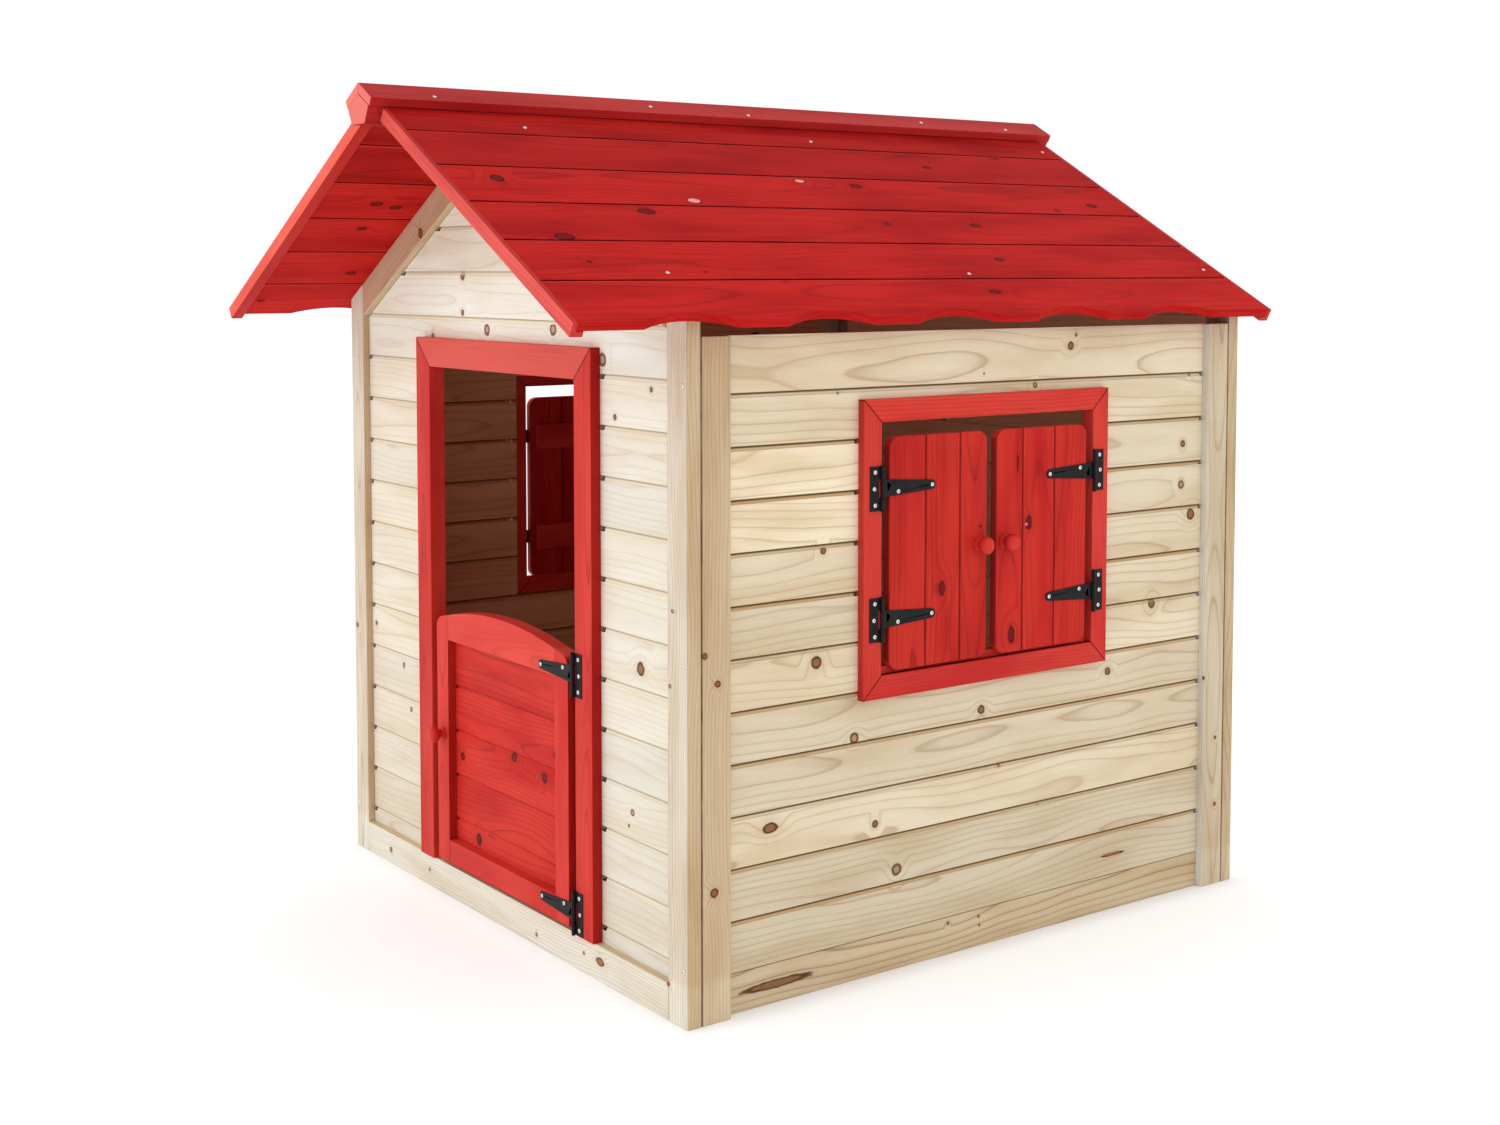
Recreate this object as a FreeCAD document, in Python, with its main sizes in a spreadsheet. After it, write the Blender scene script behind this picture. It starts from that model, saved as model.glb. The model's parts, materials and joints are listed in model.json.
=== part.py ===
import FreeCAD, Part
import math
import os
import Sketcher

# Wooden garden playhouse.  Millimetres, +Z up.  The origin is on the ground
# under the middle of the overall box.  The door wall faces -Y, the two window
# walls face +X and -X, and the ridge runs along Y.

os.makedirs("parts", exist_ok=True)
doc = FreeCAD.newDocument("playhouse")
V = FreeCAD.Vector

# ------------------------------------------------------------------ sheet
SIZES = [
    # walls
    ("half_width", 575.0),        # outer face of the side walls
    ("front_y", -506.0),          # outer face of the front frame
    ("mid_y", 99.0),              # mirror plane between front and back walls
    ("frame_thick", 25.8),
    ("post_wide", 51.6),
    ("side_post_wide", 52.3),
    ("panel_gap", 1.2),
    ("mitre_gap", 0.6),
    ("clad_recess", 13.0),
    ("clad_thick", 12.0),
    ("front_rail_high", 57.0),
    ("side_rail_high", 62.5),
    ("side_high", 1026.7),
    ("front_pitch", 79.55),
    ("front_joint", 86.0),        # lowest joint of the front cladding
    ("side_pitch", 79.75),
    ("board_gap", 1.0),
    ("front_gap", 0.5),
    ("roof_gap", 1.4),
    ("shutter_gap", 0.6),
    ("seat_gap", 0.2),
    # roof
    ("roof_deg", 29.315),
    ("roof_tan", 0.561476),
    ("roof_cos", 0.871965),
    ("roof_sin", 0.489588),
    ("ridge_top", 1405.7),
    ("roof_thick", 14.0),
    ("roof_pitch", 119.5),
    ("roof_first", 45.2),
    ("roof_joint", 127.0),
    ("eave_at", 723.2),
    ("roof_half_long", 728.35),
    ("lip_thick", 8.0),
    ("barge_wide", 21.0),
    ("barge_deep", 23.0),
    ("barge_from", 52.4),
    ("wave_half", 88.0),
    ("wave_deep", 22.0),
    ("wave_pitch", 254.0),
    ("wave_first", -527.0),
    ("rafter_deep", 52.0),
    ("ridge_half_long", 750.6),
    ("ridge_bottom", 1356.2),
    ("ridge_bottom_half", 24.0),
    ("shoulder_x", 38.4),
    ("shoulder_z", 1384.0),
    ("cap_thick", 15.0),
    ("cap_wide", 47.0),
    # door opening and door
    ("door_left", -236.6),
    ("door_right", 264.7),
    ("door_head_z", 951.0),
    ("casing_wide", 51.6),
    ("casing_proud", 5.0),
    ("lining_wide", 16.0),
    ("door_gap", 21.6),
    ("door_bottom", 66.0),
    ("door_thick", 27.0),
    ("stile_wide", 42.0),
    ("door_rail_low", 106.5),
    ("door_rail_high", 467.0),
    ("door_top", 532.0),
    ("door_shoulder", 507.4),
    ("door_pitch", 79.5),
    ("door_joint", 146.5),
    ("panel_recess", 15.0),
    ("panel_thick", 12.0),
    # windows and shutters
    ("win_front", -137.6),
    ("win_back", 331.6),
    ("win_low", 484.5),
    ("win_high", 885.8),
    ("win_frame_wide", 36.2),
    ("win_proud", 1.0),
    ("win_lining", 22.0),
    ("win_stop", 12.0),          # height of the stop behind the shutters
    ("shut_low", 491.0),
    ("shut_high", 861.5),
    ("shut_wide", 208.5),
    ("shut_edge", 15.7),
    ("shut_thick", 14.0),
    ("shut_round", 20.0),
    ("shut_joint_one", 76.0),
    ("shut_joint_two", 149.5),
    ("batten_thick", 12.0),
    ("batten_half", 25.0),
    ("batten_inset", 14.0),
    ("hinge_low", 574.6),
    ("hinge_high", 781.8),
    ("door_hinge_low", 94.5),
    ("door_hinge_high", 480.0),
    # hinges
    ("lift", 0.4),                # leaf over frame face
    ("leaf", 1.6),
    ("barrel", 3.6),
    ("pin_rad", 2.0),
    ("pin_hole", 2.05),
    ("plate_half", 35.2),
    ("plate_wide", 23.5),
    ("strap_long", 112.0),
    ("strap_half", 14.0),
    ("strap_tip", 7.5),
    ("knuckle_gap", 0.6),
    ("screw_head", 3.5),
    ("screw_shank", 1.7),
    ("screw_tall", 1.3),
    ("knob_long", 28.0),
    ("knob_rad", 15.0),
]

sheet = doc.addObject("Spreadsheet::Sheet", "Sheet")
for row, (alias, value) in enumerate(SIZES, start=1):
    sheet.set("A%d" % row, alias)
    sheet.set("B%d" % row, "%g" % value)
    sheet.setAlias("B%d" % row, alias)
doc.recompute()


class Dim:
    """A length that keeps its value and its spreadsheet expression."""

    def __init__(self, v, e=None):
        self.v = float(v)
        self.e = e if e is not None else "(%r)" % float(v)

    def _mk(self, o, op, val):
        return Dim(val, "(%s %s %s)" % (self.e, op, o.e))

    def __add__(self, o):
        o = dim(o)
        return self._mk(o, "+", self.v + o.v)

    def __radd__(self, o):
        return dim(o) + self

    def __sub__(self, o):
        o = dim(o)
        return self._mk(o, "-", self.v - o.v)

    def __rsub__(self, o):
        return dim(o) - self

    def __mul__(self, o):
        o = dim(o)
        return self._mk(o, "*", self.v * o.v)

    def __rmul__(self, o):
        return dim(o) * self

    def __truediv__(self, o):
        o = dim(o)
        return self._mk(o, "/", self.v / o.v)

    def __neg__(self):
        return Dim(-self.v, "(0 - %s)" % self.e)


def dim(x):
    return x if isinstance(x, Dim) else Dim(x)


S = {alias: Dim(value, "Sheet." + alias) for alias, value in SIZES}
NODES = []          # objects written as files, in order
COUNT = [0]


def fresh(stem):
    COUNT[0] += 1
    return "%s_%d" % (stem, COUNT[0])


def node(obj, label):
    obj.Label = label
    NODES.append(obj)
    return obj


def role(body, name):
    for o in body.Origin.OriginFeatures:
        if o.Role == name:
            return o
    raise RuntimeError(name)


def new_body(stem):
    b = doc.addObject("PartDesign::Body", fresh(stem))
    b.AllowCompound = True
    doc.recompute()
    return b


def sketch(body, plane, level, wires, circles=()):
    """Closed wires on an origin plane of the body, at a level along +axis."""
    sk = body.newObject("Sketcher::SketchObject", fresh("sketch"))
    sk.AttachmentSupport = (role(body, plane), [""])
    sk.MapMode = "FlatFace"
    level = dim(level)
    if plane == "XZ_Plane":
        level = -level
    sk.AttachmentOffset = FreeCAD.Placement(V(0, 0, level.v), FreeCAD.Rotation())
    sk.setExpression("AttachmentOffset.Base.z", level.e)
    for wire in wires:
        # a wire is a list of points; ("arc", middle) before a point bends the edge into it
        pts, mids = [], []
        for item in wire:
            if item[0] == "arc":
                mids[-1] = item[1]
            else:
                pts.append((dim(item[0]), dim(item[1])))
                mids.append(None)
        k0 = sk.GeometryCount
        n = len(pts)
        ends = []
        sk_centres = {}
        for i in range(n):
            a, b = pts[i], pts[(i + 1) % n]
            pa, pb = V(a[0].v, a[1].v, 0), V(b[0].v, b[1].v, 0)
            if mids[i] is None:
                sk.addGeometry(Part.LineSegment(pa, pb))
                ends.append((1, 2))
            else:
                pm = V(dim(mids[i][0]).v, dim(mids[i][1]).v, 0)
                c = Part.Arc(pa, pm, pb).toShape().Curve.Center
                ta, tm, tb = [math.atan2(q.y - c.y, q.x - c.x) for q in (pa, pm, pb)]
                turn = 2 * math.pi
                forward = (tm - ta) % turn < (tb - ta) % turn      # anticlockwise from a to b
                if not forward:
                    ta, tb = tb, ta
                ring = Part.Circle(V(c.x, c.y, 0), V(0, 0, 1), (pa - c).Length)
                sk.addGeometry(Part.ArcOfCircle(ring, ta, ta + (tb - ta) % turn))
                sk_centres[i] = V(c.x, c.y, 0)
                ends.append((1, 2) if forward else (2, 1))
        for i in range(n):
            j = (i + 1) % n
            sk.addConstraint(Sketcher.Constraint("Coincident", k0 + i, ends[i][1], k0 + j, ends[j][0]))
        for i in range(n):
            for kind, d in (("DistanceX", pts[i][0]), ("DistanceY", pts[i][1])):
                c = sk.addConstraint(Sketcher.Constraint(kind, -1, 1, k0 + i, ends[i][0], d.v))
                sk.setExpression("Constraints[%d]" % c, d.e)
            if mids[i] is not None:
                # the bulge: centre measured from the start of the arc, square to the chord
                j = (i + 1) % n
                mid_pt = sk_centres[i]
                wide = abs(pts[j][0].v - pts[i][0].v) >= abs(pts[j][1].v - pts[i][1].v)
                if wide:
                    sk.addConstraint(Sketcher.Constraint(
                        "DistanceY", k0 + i, ends[i][0], k0 + i, 3, mid_pt.y - pts[i][1].v))
                else:
                    sk.addConstraint(Sketcher.Constraint(
                        "DistanceX", k0 + i, ends[i][0], k0 + i, 3, mid_pt.x - pts[i][0].v))
    for cx, cy, cr in circles:
        cx, cy, cr = dim(cx), dim(cy), dim(cr)
        k = sk.addGeometry(Part.Circle(V(cx.v, cy.v, 0), V(0, 0, 1), cr.v))
        for kind, d in (("DistanceX", cx), ("DistanceY", cy)):
            c = sk.addConstraint(Sketcher.Constraint(kind, -1, 1, k, 3, d.v))
            sk.setExpression("Constraints[%d]" % c, d.e)
        c = sk.addConstraint(Sketcher.Constraint("Radius", k, cr.v))
        sk.setExpression("Constraints[%d]" % c, cr.e)
    sk.Visibility = False
    return sk


def pad(body, plane, lo, hi, wires=(), circles=()):
    """Material between lo and hi along the plane's axis."""
    lo, hi = dim(lo), dim(hi)
    sk = sketch(body, plane, hi if plane == "XZ_Plane" else lo, wires, circles)
    p = body.newObject("PartDesign::Pad", fresh("pad"))
    p.Profile = sk
    p.Length = hi.v - lo.v
    p.setExpression("Length", (hi - lo).e)
    return p


def cut(body, plane, lo, hi, wires=(), circles=()):
    """Remove the material between lo and hi along the plane's axis."""
    lo, hi = dim(lo), dim(hi)
    doc.recompute()
    if body.Shape.isNull():
        raise RuntimeError("%s is empty: %s" % (body.Name, [(o.Name, o.State, o.getStatusString()) for o in body.Group]))
    before = body.Shape.Volume
    sk = sketch(body, plane, lo if plane == "XZ_Plane" else hi, wires, circles)
    p = body.newObject("PartDesign::Pocket", fresh("pocket"))
    p.Profile = sk
    p.Length = hi.v - lo.v
    p.setExpression("Length", (hi - lo).e)
    doc.recompute()
    if not body.Shape.Volume < before - 1e-3:
        raise RuntimeError("pocket %s of %s cuts nothing: %s / sketch %s / before %.1f after %.1f" % (p.Name, body.Name, p.State, sk.State, before, body.Shape.Volume))
    return p


def repeat(body, feature, axis, step, number):
    step = dim(step)
    lp = body.newObject("PartDesign::LinearPattern", fresh("row"))
    lp.Originals = [feature]
    lp.Direction = (role(body, axis), [""])
    lp.Occurrences = number
    lp.Length = step.v * (number - 1)
    lp.setExpression("Length", (step * (number - 1)).e)
    body.Tip = lp
    return lp


def mirror(source, axis, at=0.0):
    m = doc.addObject("Part::Mirroring", fresh("mirror"))
    m.Source = source
    m.Normal = V(1, 0, 0) if axis == "x" else V(0, 1, 0)
    at = dim(at)
    m.Base = V(at.v, 0, 0) if axis == "x" else V(0, at.v, 0)
    m.setExpression("Base." + axis, at.e)
    return m


def group(*objs):
    c = doc.addObject("Part::Compound", fresh("group"))
    c.Links = list(objs)
    return c


def rect(x0, y0, x1, y1):
    return [(x0, y0), (x1, y0), (x1, y1), (x0, y1)]


hw, fy, ft, pw = S["half_width"], S["front_y"], S["frame_thick"], S["post_wide"]
seat, gap = S["seat_gap"], S["board_gap"]
front_gap, roof_gap, shut_gap = S["front_gap"], S["roof_gap"], S["shutter_gap"]
rt, rc, rs = S["roof_tan"], S["roof_cos"], S["roof_sin"]
under = S["ridge_top"] - S["roof_thick"] / rc - seat     # roof underside over the ridge line


def roof_z(x, drop=0.0):
    """Height of the rafter line at a distance x from the ridge, less a drop."""
    return under - rt * dim(x) - dim(drop)


# ------------------------------------------------------------ front and back frames
post_in = hw - pw
b = new_body("posts")
pad(b, "XZ_Plane", fy, fy + ft, [
    [(post_in, 0), (hw, 0), (hw, roof_z(hw)), (post_in, roof_z(post_in))],
    [(-hw, 0), (-post_in, 0), (-post_in, roof_z(post_in)), (-hw, roof_z(hw))],
])
front_posts = node(b, "front_corner_posts")
node(mirror(front_posts, "y", S["mid_y"]), "back_corner_posts")

b = new_body("rail")
pad(b, "XZ_Plane", fy, fy + ft, [rect(-post_in + seat, 0, post_in - seat, S["front_rail_high"])])
front_rail = node(b, "front_bottom_rail")
node(mirror(front_rail, "y", S["mid_y"]), "back_bottom_rail")

raf = S["rafter_deep"] / rc
raf_end = post_in - seat
b = new_body("rafters")
right = [(seat, roof_z(0, raf)), (raf_end, roof_z(raf_end, raf)), (raf_end, roof_z(raf_end)),
         (33.5, roof_z(33.5)), (S["ridge_bottom_half"] + 1.5, S["ridge_bottom"] - 0.5),
         (seat, S["ridge_bottom"] - 0.5)]
left = [(-dim(x), z) for x, z in reversed(right)]
pad(b, "XZ_Plane", fy, fy + ft, [right, left])
front_rafters = node(b, "front_gable_rafters")
node(mirror(front_rafters, "y", S["mid_y"]), "back_gable_rafters")


# ------------------------------------------------------------ cladding
def board_profile(out, sign, z0, pitch, top=None, g=gap):
    """Tongue-and-groove board section; out is the outer face, sign points inward."""
    t = S["clad_thick"]
    pts = [(0, 1.4)]
    if top is None:
        hi = dim(pitch) - g
        pts += [(0, hi - 6.0), (2.4, hi), (4.4, hi), (4.4, hi + 5.0), (7.9, hi + 5.0), (7.9, hi), (t, hi)]
    else:
        pts += [(0, top), (t, top)]
    pts += [(t, 0), (8.3, 0), (8.3, 5.7), (4.0, 5.7), (4.0, 0), (1.4, 0)]
    res = []
    for d, z in pts:
        res.append((dim(out) + dim(d) * sign, dim(z0) + dim(z)))
    return res


clad_y = fy + S["clad_recess"]
clad_end = post_in - seat
fp, fj = S["front_pitch"], S["front_joint"]


def gable_wall(with_door):
    b = new_body("cladding")
    first = pad(b, "YZ_Plane", -clad_end, clad_end, [board_profile(clad_y, 1, fj - fp + 0.001, fp, g=front_gap)])
    repeat(b, first, "Z_Axis", fp, 17)
    lo, hi = clad_y - 1, clad_y + S["clad_thick"] + 1
    apex = roof_z(0, raf) - seat
    side = roof_z(530, raf) - seat
    cut(b, "XZ_Plane", lo, hi, [[(0, apex), (530, side), (530, 1460), (-530, 1460), (-530, side)]])
    base = S["front_rail_high"] + seat
    if with_door:
        dl = S["door_left"] - S["lining_wide"] - 0.3
        dr = S["door_right"] + S["lining_wide"] + 0.3
        dz = S["door_head_z"] + S["lining_wide"] + 0.3
        cut(b, "XZ_Plane", lo, hi, [[(-530, -20), (530, -20), (530, base), (dr, base), (dr, dz),
                                     (dl, dz), (dl, base), (-530, base)]])
        cr = S["door_right"] + S["casing_wide"]
        n = cut(b, "XZ_Plane", lo, hi, [
            rect(-clad_end - 1, fj - 7.6, -clad_end + 10.5, fj - 0.1),
            rect(cr - 4, fj - 7.6, cr + 11.5, fj - 0.1)])
        repeat(b, n, "Z_Axis", fp, 12)
    else:
        cut(b, "XZ_Plane", lo, hi, [rect(-530, -20, 530, base)])
        n = cut(b, "XZ_Plane", lo, hi, [
            rect(-clad_end - 1, fj - 7.6, -clad_end + 10.5, fj - 0.1)])
        repeat(b, n, "Z_Axis", fp, 12)
    # the same small notches where the gable boards meet the rafters
    for k in (13, 14):
        z = fj + fp * k
        x = (roof_z(0, raf) - seat - z) / rt
        cut(b, "XZ_Plane", lo, hi, [
            rect(x - 8, z - 7.6, x + 12, z - 0.1), rect(-x - 12, z - 7.6, -x + 8, z - 0.1)])
    return b


node(gable_wall(True), "front_cladding")
back = gable_wall(False)
node(mirror(back, "y", S["mid_y"]), "back_cladding")

# side walls: posts, bottom rail, cladding
sp = S["side_post_wide"]
sp_y0 = fy + ft + S["panel_gap"]
sp_y1 = sp_y0 + sp
mid = S["mid_y"]
back_in = mid * 2 - sp_y1
b = new_body("side_posts")
pad(b, "XY_Plane", 0, S["side_high"], [
    rect(hw - ft, sp_y0, hw, sp_y1),
    rect(hw - ft, back_in, hw, mid * 2 - sp_y0)])
right_posts = node(b, "right_wall_posts")
node(mirror(right_posts, "x"), "left_wall_posts")

clad_x = hw - S["clad_recess"]
b = new_body("side_rail")
pad(b, "XY_Plane", 0, S["side_rail_high"] - seat,
    [rect(clad_x - 23.0, sp_y1 + seat, clad_x - 1.0, back_in - seat)])
node(group(b, mirror(b, "x")), "side_bottom_rails")

sl, spitch = S["side_rail_high"], S["side_pitch"]
y0, y1 = sp_y1 + seat, back_in - seat
wl = S["win_lining"] + 0.3
wf = S["win_frame_wide"]


def side_rows(label, runs, top):
    """Rows of side wall boards, given as (first row, number, step in rows), cut round the window."""
    b = new_body("side_cladding")
    for first, number, step in runs:
        row = pad(b, "XZ_Plane", y0, y1, [board_profile(clad_x, -1, sl + seat + spitch * first, spitch)])
        if number > 1:
            repeat(b, row, "Z_Axis", spitch * step, number)
    if top:
        ztop = sl + spitch * 11 + seat
        pad(b, "XZ_Plane", y0, y1, [board_profile(clad_x, -1, ztop, spitch, S["side_high"] - ztop)])
    cut(b, "YZ_Plane", clad_x - S["clad_thick"] - 1, clad_x + 1,
        [rect(S["win_front"] - wl, S["win_low"] - wl, S["win_back"] + wl, S["win_high"] + wl)])
    # small notches at the upper edge of the boards: against the back post, and left of the window
    step = spitch * (1 if top else 5)
    joint = sl + seat + spitch * (1 if top else 6)
    deep = clad_x - S["clad_thick"] - 1
    n = cut(b, "YZ_Plane", deep, clad_x + 1, [rect(y1 - 7.0, joint - 7.0, y1 + 1, joint - 0.1)])
    repeat(b, n, "Z_Axis", step, 11 if top else 2)
    if top:
        lo, joint = S["win_front"] - wf, sl + seat + spitch * 7
        n = cut(b, "YZ_Plane", deep, clad_x + 1, [rect(lo - 7.5, joint - 7.0, lo + 4, joint - 0.1)])
        repeat(b, n, "Z_Axis", spitch, 4)
    return node(b, label)


right_clad = side_rows("right_cladding", [(0, 5, 1), (6, 4, 1)], True)
node(mirror(right_clad, "x"), "left_cladding")
right_notched = side_rows("right_window_boards", [(5, 2, 5)], False)
node(mirror(right_notched, "x"), "left_window_boards")


# ------------------------------------------------------------ door and window frames
dl, dr, dz = S["door_left"], S["door_right"], S["door_head_z"]
cw, lw = S["casing_wide"], S["lining_wide"]
face_y = fy - S["casing_proud"]
base, mg = S["front_rail_high"] + seat, S["mitre_gap"]
in_y = clad_y + S["clad_thick"]
b = new_body("jambs")
pad(b, "XZ_Plane", face_y, clad_y, [
    [(dl - cw, base), (dl, base), (dl, dz - mg), (dl - cw, dz + cw - mg)],
    [(dr, base), (dr + cw, base), (dr + cw, dz + cw - mg), (dr, dz - mg)]])
pad(b, "XZ_Plane", clad_y, in_y, [
    [(dl - lw, base), (dl, base), (dl, dz - mg), (dl - lw, dz + lw - mg)],
    [(dr, base), (dr + lw, base), (dr + lw, dz + lw - mg), (dr, dz - mg)]])
node(b, "door_jambs")
b = new_body("head")
pad(b, "XZ_Plane", face_y, clad_y, [[(dl, dz), (dr, dz), (dr + cw, dz + cw), (dl - cw, dz + cw)]])
pad(b, "XZ_Plane", clad_y, in_y, [[(dl, dz), (dr, dz), (dr + lw, dz + lw), (dl - lw, dz + lw)]])
node(b, "door_head")

w0, w1, z0, z1 = S["win_front"], S["win_back"], S["win_low"], S["win_high"]
b = new_body("window_frame")


def mitred(w, stop=0):
    g = S["mitre_gap"]
    low = [(w0, z0), (w0 - w, z0 - w), (w1 + w, z0 - w), (w1, z0)]
    if stop:
        low += [(w1 - g, z0), (w1 - g, z0 + stop), (w0 + g, z0 + stop), (w0 + g, z0)]
    return [
        [(w0, z0 + g), (w0, z1 - g), (w0 - w, z1 + w - g), (w0 - w, z0 - w + g)],
        [(w1, z0 + g), (w1 + w, z0 - w + g), (w1 + w, z1 + w - g), (w1, z1 - g)],
        low,
        [(w0, z1), (w1, z1), (w1 + w, z1 + w), (w0 - w, z1 + w)]]


pad(b, "YZ_Plane", clad_x, hw + S["win_proud"], mitred(wf))
pad(b, "YZ_Plane", clad_x - S["clad_thick"], clad_x, mitred(S["win_lining"], S["win_stop"]))
right_frame = node(b, "right_window_frame")
node(mirror(right_frame, "x"), "left_window_frame")


# ------------------------------------------------------------ roof
def slope_body(stem):
    """A body whose X runs down the right slope and whose Z is the slope's normal."""
    b = new_body(stem)
    b.Placement = FreeCAD.Placement(V(0, 0, S["ridge_top"].v), FreeCAD.Rotation(V(0, 1, 0), S["roof_deg"].v))
    b.setExpression("Placement.Base.z", "Sheet.ridge_top")
    b.setExpression("Placement.Rotation.Angle", "Sheet.roof_deg")
    return b


rth = S["roof_thick"]
rp, rj = S["roof_pitch"], S["roof_joint"]


def roof_profile(a, c, tongue, groove):
    a = dim(a) + roof_gap
    c = dim(c)
    p = [(a + 2.4, 0), (c - 1.6, 0), (c, -1.6)]
    if groove:
        p += [(c, -4.8), (c - 5.7, -4.8), (c - 5.7, -9.2), (c, -9.2)]
    p += [(c, 1.2 - rth), (c - 1.2, -rth), (a + 1.6, -rth), (a, 1.6 - rth)]
    if tongue:
        p += [(a, -8.8), (a - 5.0, -8.8), (a - 5.0, -5.2), (a, -5.2)]
    p += [(a, -2.4)]
    return p


rl = S["roof_half_long"]
ry = rl - S["lip_thick"] - seat
b = slope_body("roof_boards")
pad(b, "XZ_Plane", -ry, ry, [roof_profile(S["roof_first"], rj, False, True)])
two = pad(b, "XZ_Plane", -ry, ry, [roof_profile(rj, rj + rp, True, True)])
repeat(b, two, "X_Axis", rp, 4)
ea = S["eave_at"]
pad(b, "XZ_Plane", -ry, ry, [roof_profile(rj + rp * 4, ea, True, False)])
wh, wd = S["wave_half"], S["wave_deep"]
wc = S["wave_first"]
scallop = cut(b, "XY_Plane", -rth - 1, 1, [
    [(ea + 2, wc - wh), (ea + 2, wc + wh), ("arc", (ea - wd, wc))]])
repeat(b, scallop, "Y_Axis", S["wave_pitch"], 5)
right_roof = node(b, "right_roof_boards")
node(mirror(right_roof, "x"), "left_roof_boards")

lip, bw, bd = S["lip_thick"], S["barge_wide"], S["barge_deep"]
b = slope_body("barge")
pad(b, "YZ_Plane", S["barge_from"], ea, [
    [(-rl, -bd), (-rl + bw, -bd), (-rl + bw, -rth - seat), (-rl + lip, -rth - seat), (-rl + lip, 0), (-rl, 0)]])
front_barge = group(b, mirror(b, "x"))
node(front_barge, "front_barge_battens")
node(mirror(front_barge, "y"), "back_barge_battens")

b = slope_body("mid_batten")
pad(b, "YZ_Plane", 62.0, 600.0, [rect(mid + 1 - 22, -rth - seat - 18, mid + 1 + 22, -rth - seat)])
node(group(b, mirror(b, "x")), "roof_middle_battens")

rh = S["ridge_half_long"]
b = new_body("ridge")
pad(b, "XZ_Plane", -rh, rh, [
    [(0, S["ridge_top"] - 0.2), (-S["shoulder_x"], S["shoulder_z"]), (-S["ridge_bottom_half"], S["ridge_bottom"]),
     (S["ridge_bottom_half"], S["ridge_bottom"]), (S["shoulder_x"], S["shoulder_z"])]])
node(b, "ridge_beam")

ct, cwd = S["cap_thick"], S["cap_wide"]
cap0 = S["ridge_top"] + 0.25
b = new_body("cap")
cx, cz = cwd * rc, cap0 - cwd * rs
pad(b, "XZ_Plane", 0.6 - rh, rh - 0.6, [
    [(0.2, cap0 - rt * 0.2), (cx, cz), (cx + ct * rs, cz + ct * rc), (0.2, cap0 + ct / rc - rt * 0.2)]])
node(group(b, mirror(b, "x")), "ridge_cap_boards")


# ------------------------------------------------------------ hinges
# Hinge frame: the pin is Z, the strap points along +Y and +X is away from the wood.
R0 = FreeCAD.Rotation()
RX = FreeCAD.Rotation(V(1, 0, 0), 180)
RZ = FreeCAD.Rotation(V(0, 0, 1), 180)
RD = FreeCAD.Rotation(V(0, 0, 1), -90)
axis_x = hw + S["win_proud"] + S["lift"] + S["barrel"]
axis_front = w0 - 1.0
axis_back = w1 + 1.0
door_axis_x = dr - 1.2
door_axis_y = face_y - S["lift"] - S["barrel"]
HINGES = {
    # name: (x, y, first z, last z, rotation, sign of local z)
    "door": (door_axis_x, door_axis_y, S["door_hinge_high"], S["door_hinge_low"], RD.multiply(RX), -1),
    "right_front": (axis_x, axis_front, S["hinge_low"], S["hinge_high"], R0, 1),
    "right_back": (axis_x, axis_back, S["hinge_high"], S["hinge_low"], RX, -1),
    "left_front": (-axis_x, axis_front, S["hinge_high"], S["hinge_low"], RZ.multiply(RX), -1),
    "left_back": (-axis_x, axis_back, S["hinge_low"], S["hinge_high"], RZ, 1),
}
ba, lf, li = S["barrel"], S["leaf"], S["lift"]


def hinge_body(stem, key):
    x, y, za, zb, rot, sg = HINGES[key]
    b = new_body(stem)
    b.Placement = FreeCAD.Placement(V(x.v, y.v, za.v), rot)
    b.setExpression("Placement.Base.x", x.e)
    b.setExpression("Placement.Base.y", y.e)
    b.setExpression("Placement.Base.z", za.e)
    return b, (zb - za) * sg


def pair(b, step):
    """Repeat every feature of the body once along the pin, at the other hinge."""
    doc.recompute()
    lp = b.newObject("PartDesign::LinearPattern", fresh("row"))
    lp.TransformMode = "Whole shape"
    lp.Direction = (role(b, "Z_Axis"), [""])
    lp.Occurrences = 2
    lp.Length = step.v
    lp.setExpression("Length", step.e)
    b.Tip = lp
    return lp


def strap(key):
    b, step = hinge_body("strap", key)
    sh, tip, sl_ = S["strap_half"], S["strap_tip"], S["strap_long"]
    pad(b, "YZ_Plane", -ba, -ba + lf, [
        [(0, -sh), (8, -sh), (sl_ - 6.6, -tip), ("arc", (sl_, 0)), (sl_ - 6.6, tip), (8, sh), (0, sh)]])
    pad(b, "XY_Plane", -sh, sh, circles=[(0, 0, ba)])
    cut(b, "XY_Plane", -sh - 1, sh + 1, circles=[(0, 0, S["pin_hole"])])
    # two screw holes, and a third one left open near the knuckle
    cut(b, "YZ_Plane", -ba - 1, -ba + lf + 1, circles=[(33.5, -6.5, 1.9), (sl_ - tip, 0, 1.9), (20.0, 6.5, 1.9)])
    pair(b, step)
    return b


def plate(key):
    b, step = hinge_body("plate", key)
    ph, pwd = S["plate_half"], S["plate_wide"]
    sh = S["strap_half"] + S["knuckle_gap"]
    pad(b, "YZ_Plane", -ba - li, -ba - li + lf, [
        [(-pwd, -ph), (0, -ph), (0, -sh), (-6, -sh), (-6, sh), (0, sh), (0, ph), (-pwd, ph)]])
    pad(b, "XY_Plane", sh, ph, circles=[(0, 0, ba)])
    pad(b, "XY_Plane", -ph, -sh, circles=[(0, 0, ba)])
    cut(b, "XY_Plane", -ph - 1, ph + 1, circles=[(0, 0, S["pin_hole"])])
    cut(b, "YZ_Plane", -ba - li - 1, -ba - li + lf + 1,
        circles=[(-13.4, 26, 1.9), (-15.2, 0, 1.9), (-13.4, -26, 1.9)])
    pair(b, step)
    return b


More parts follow.
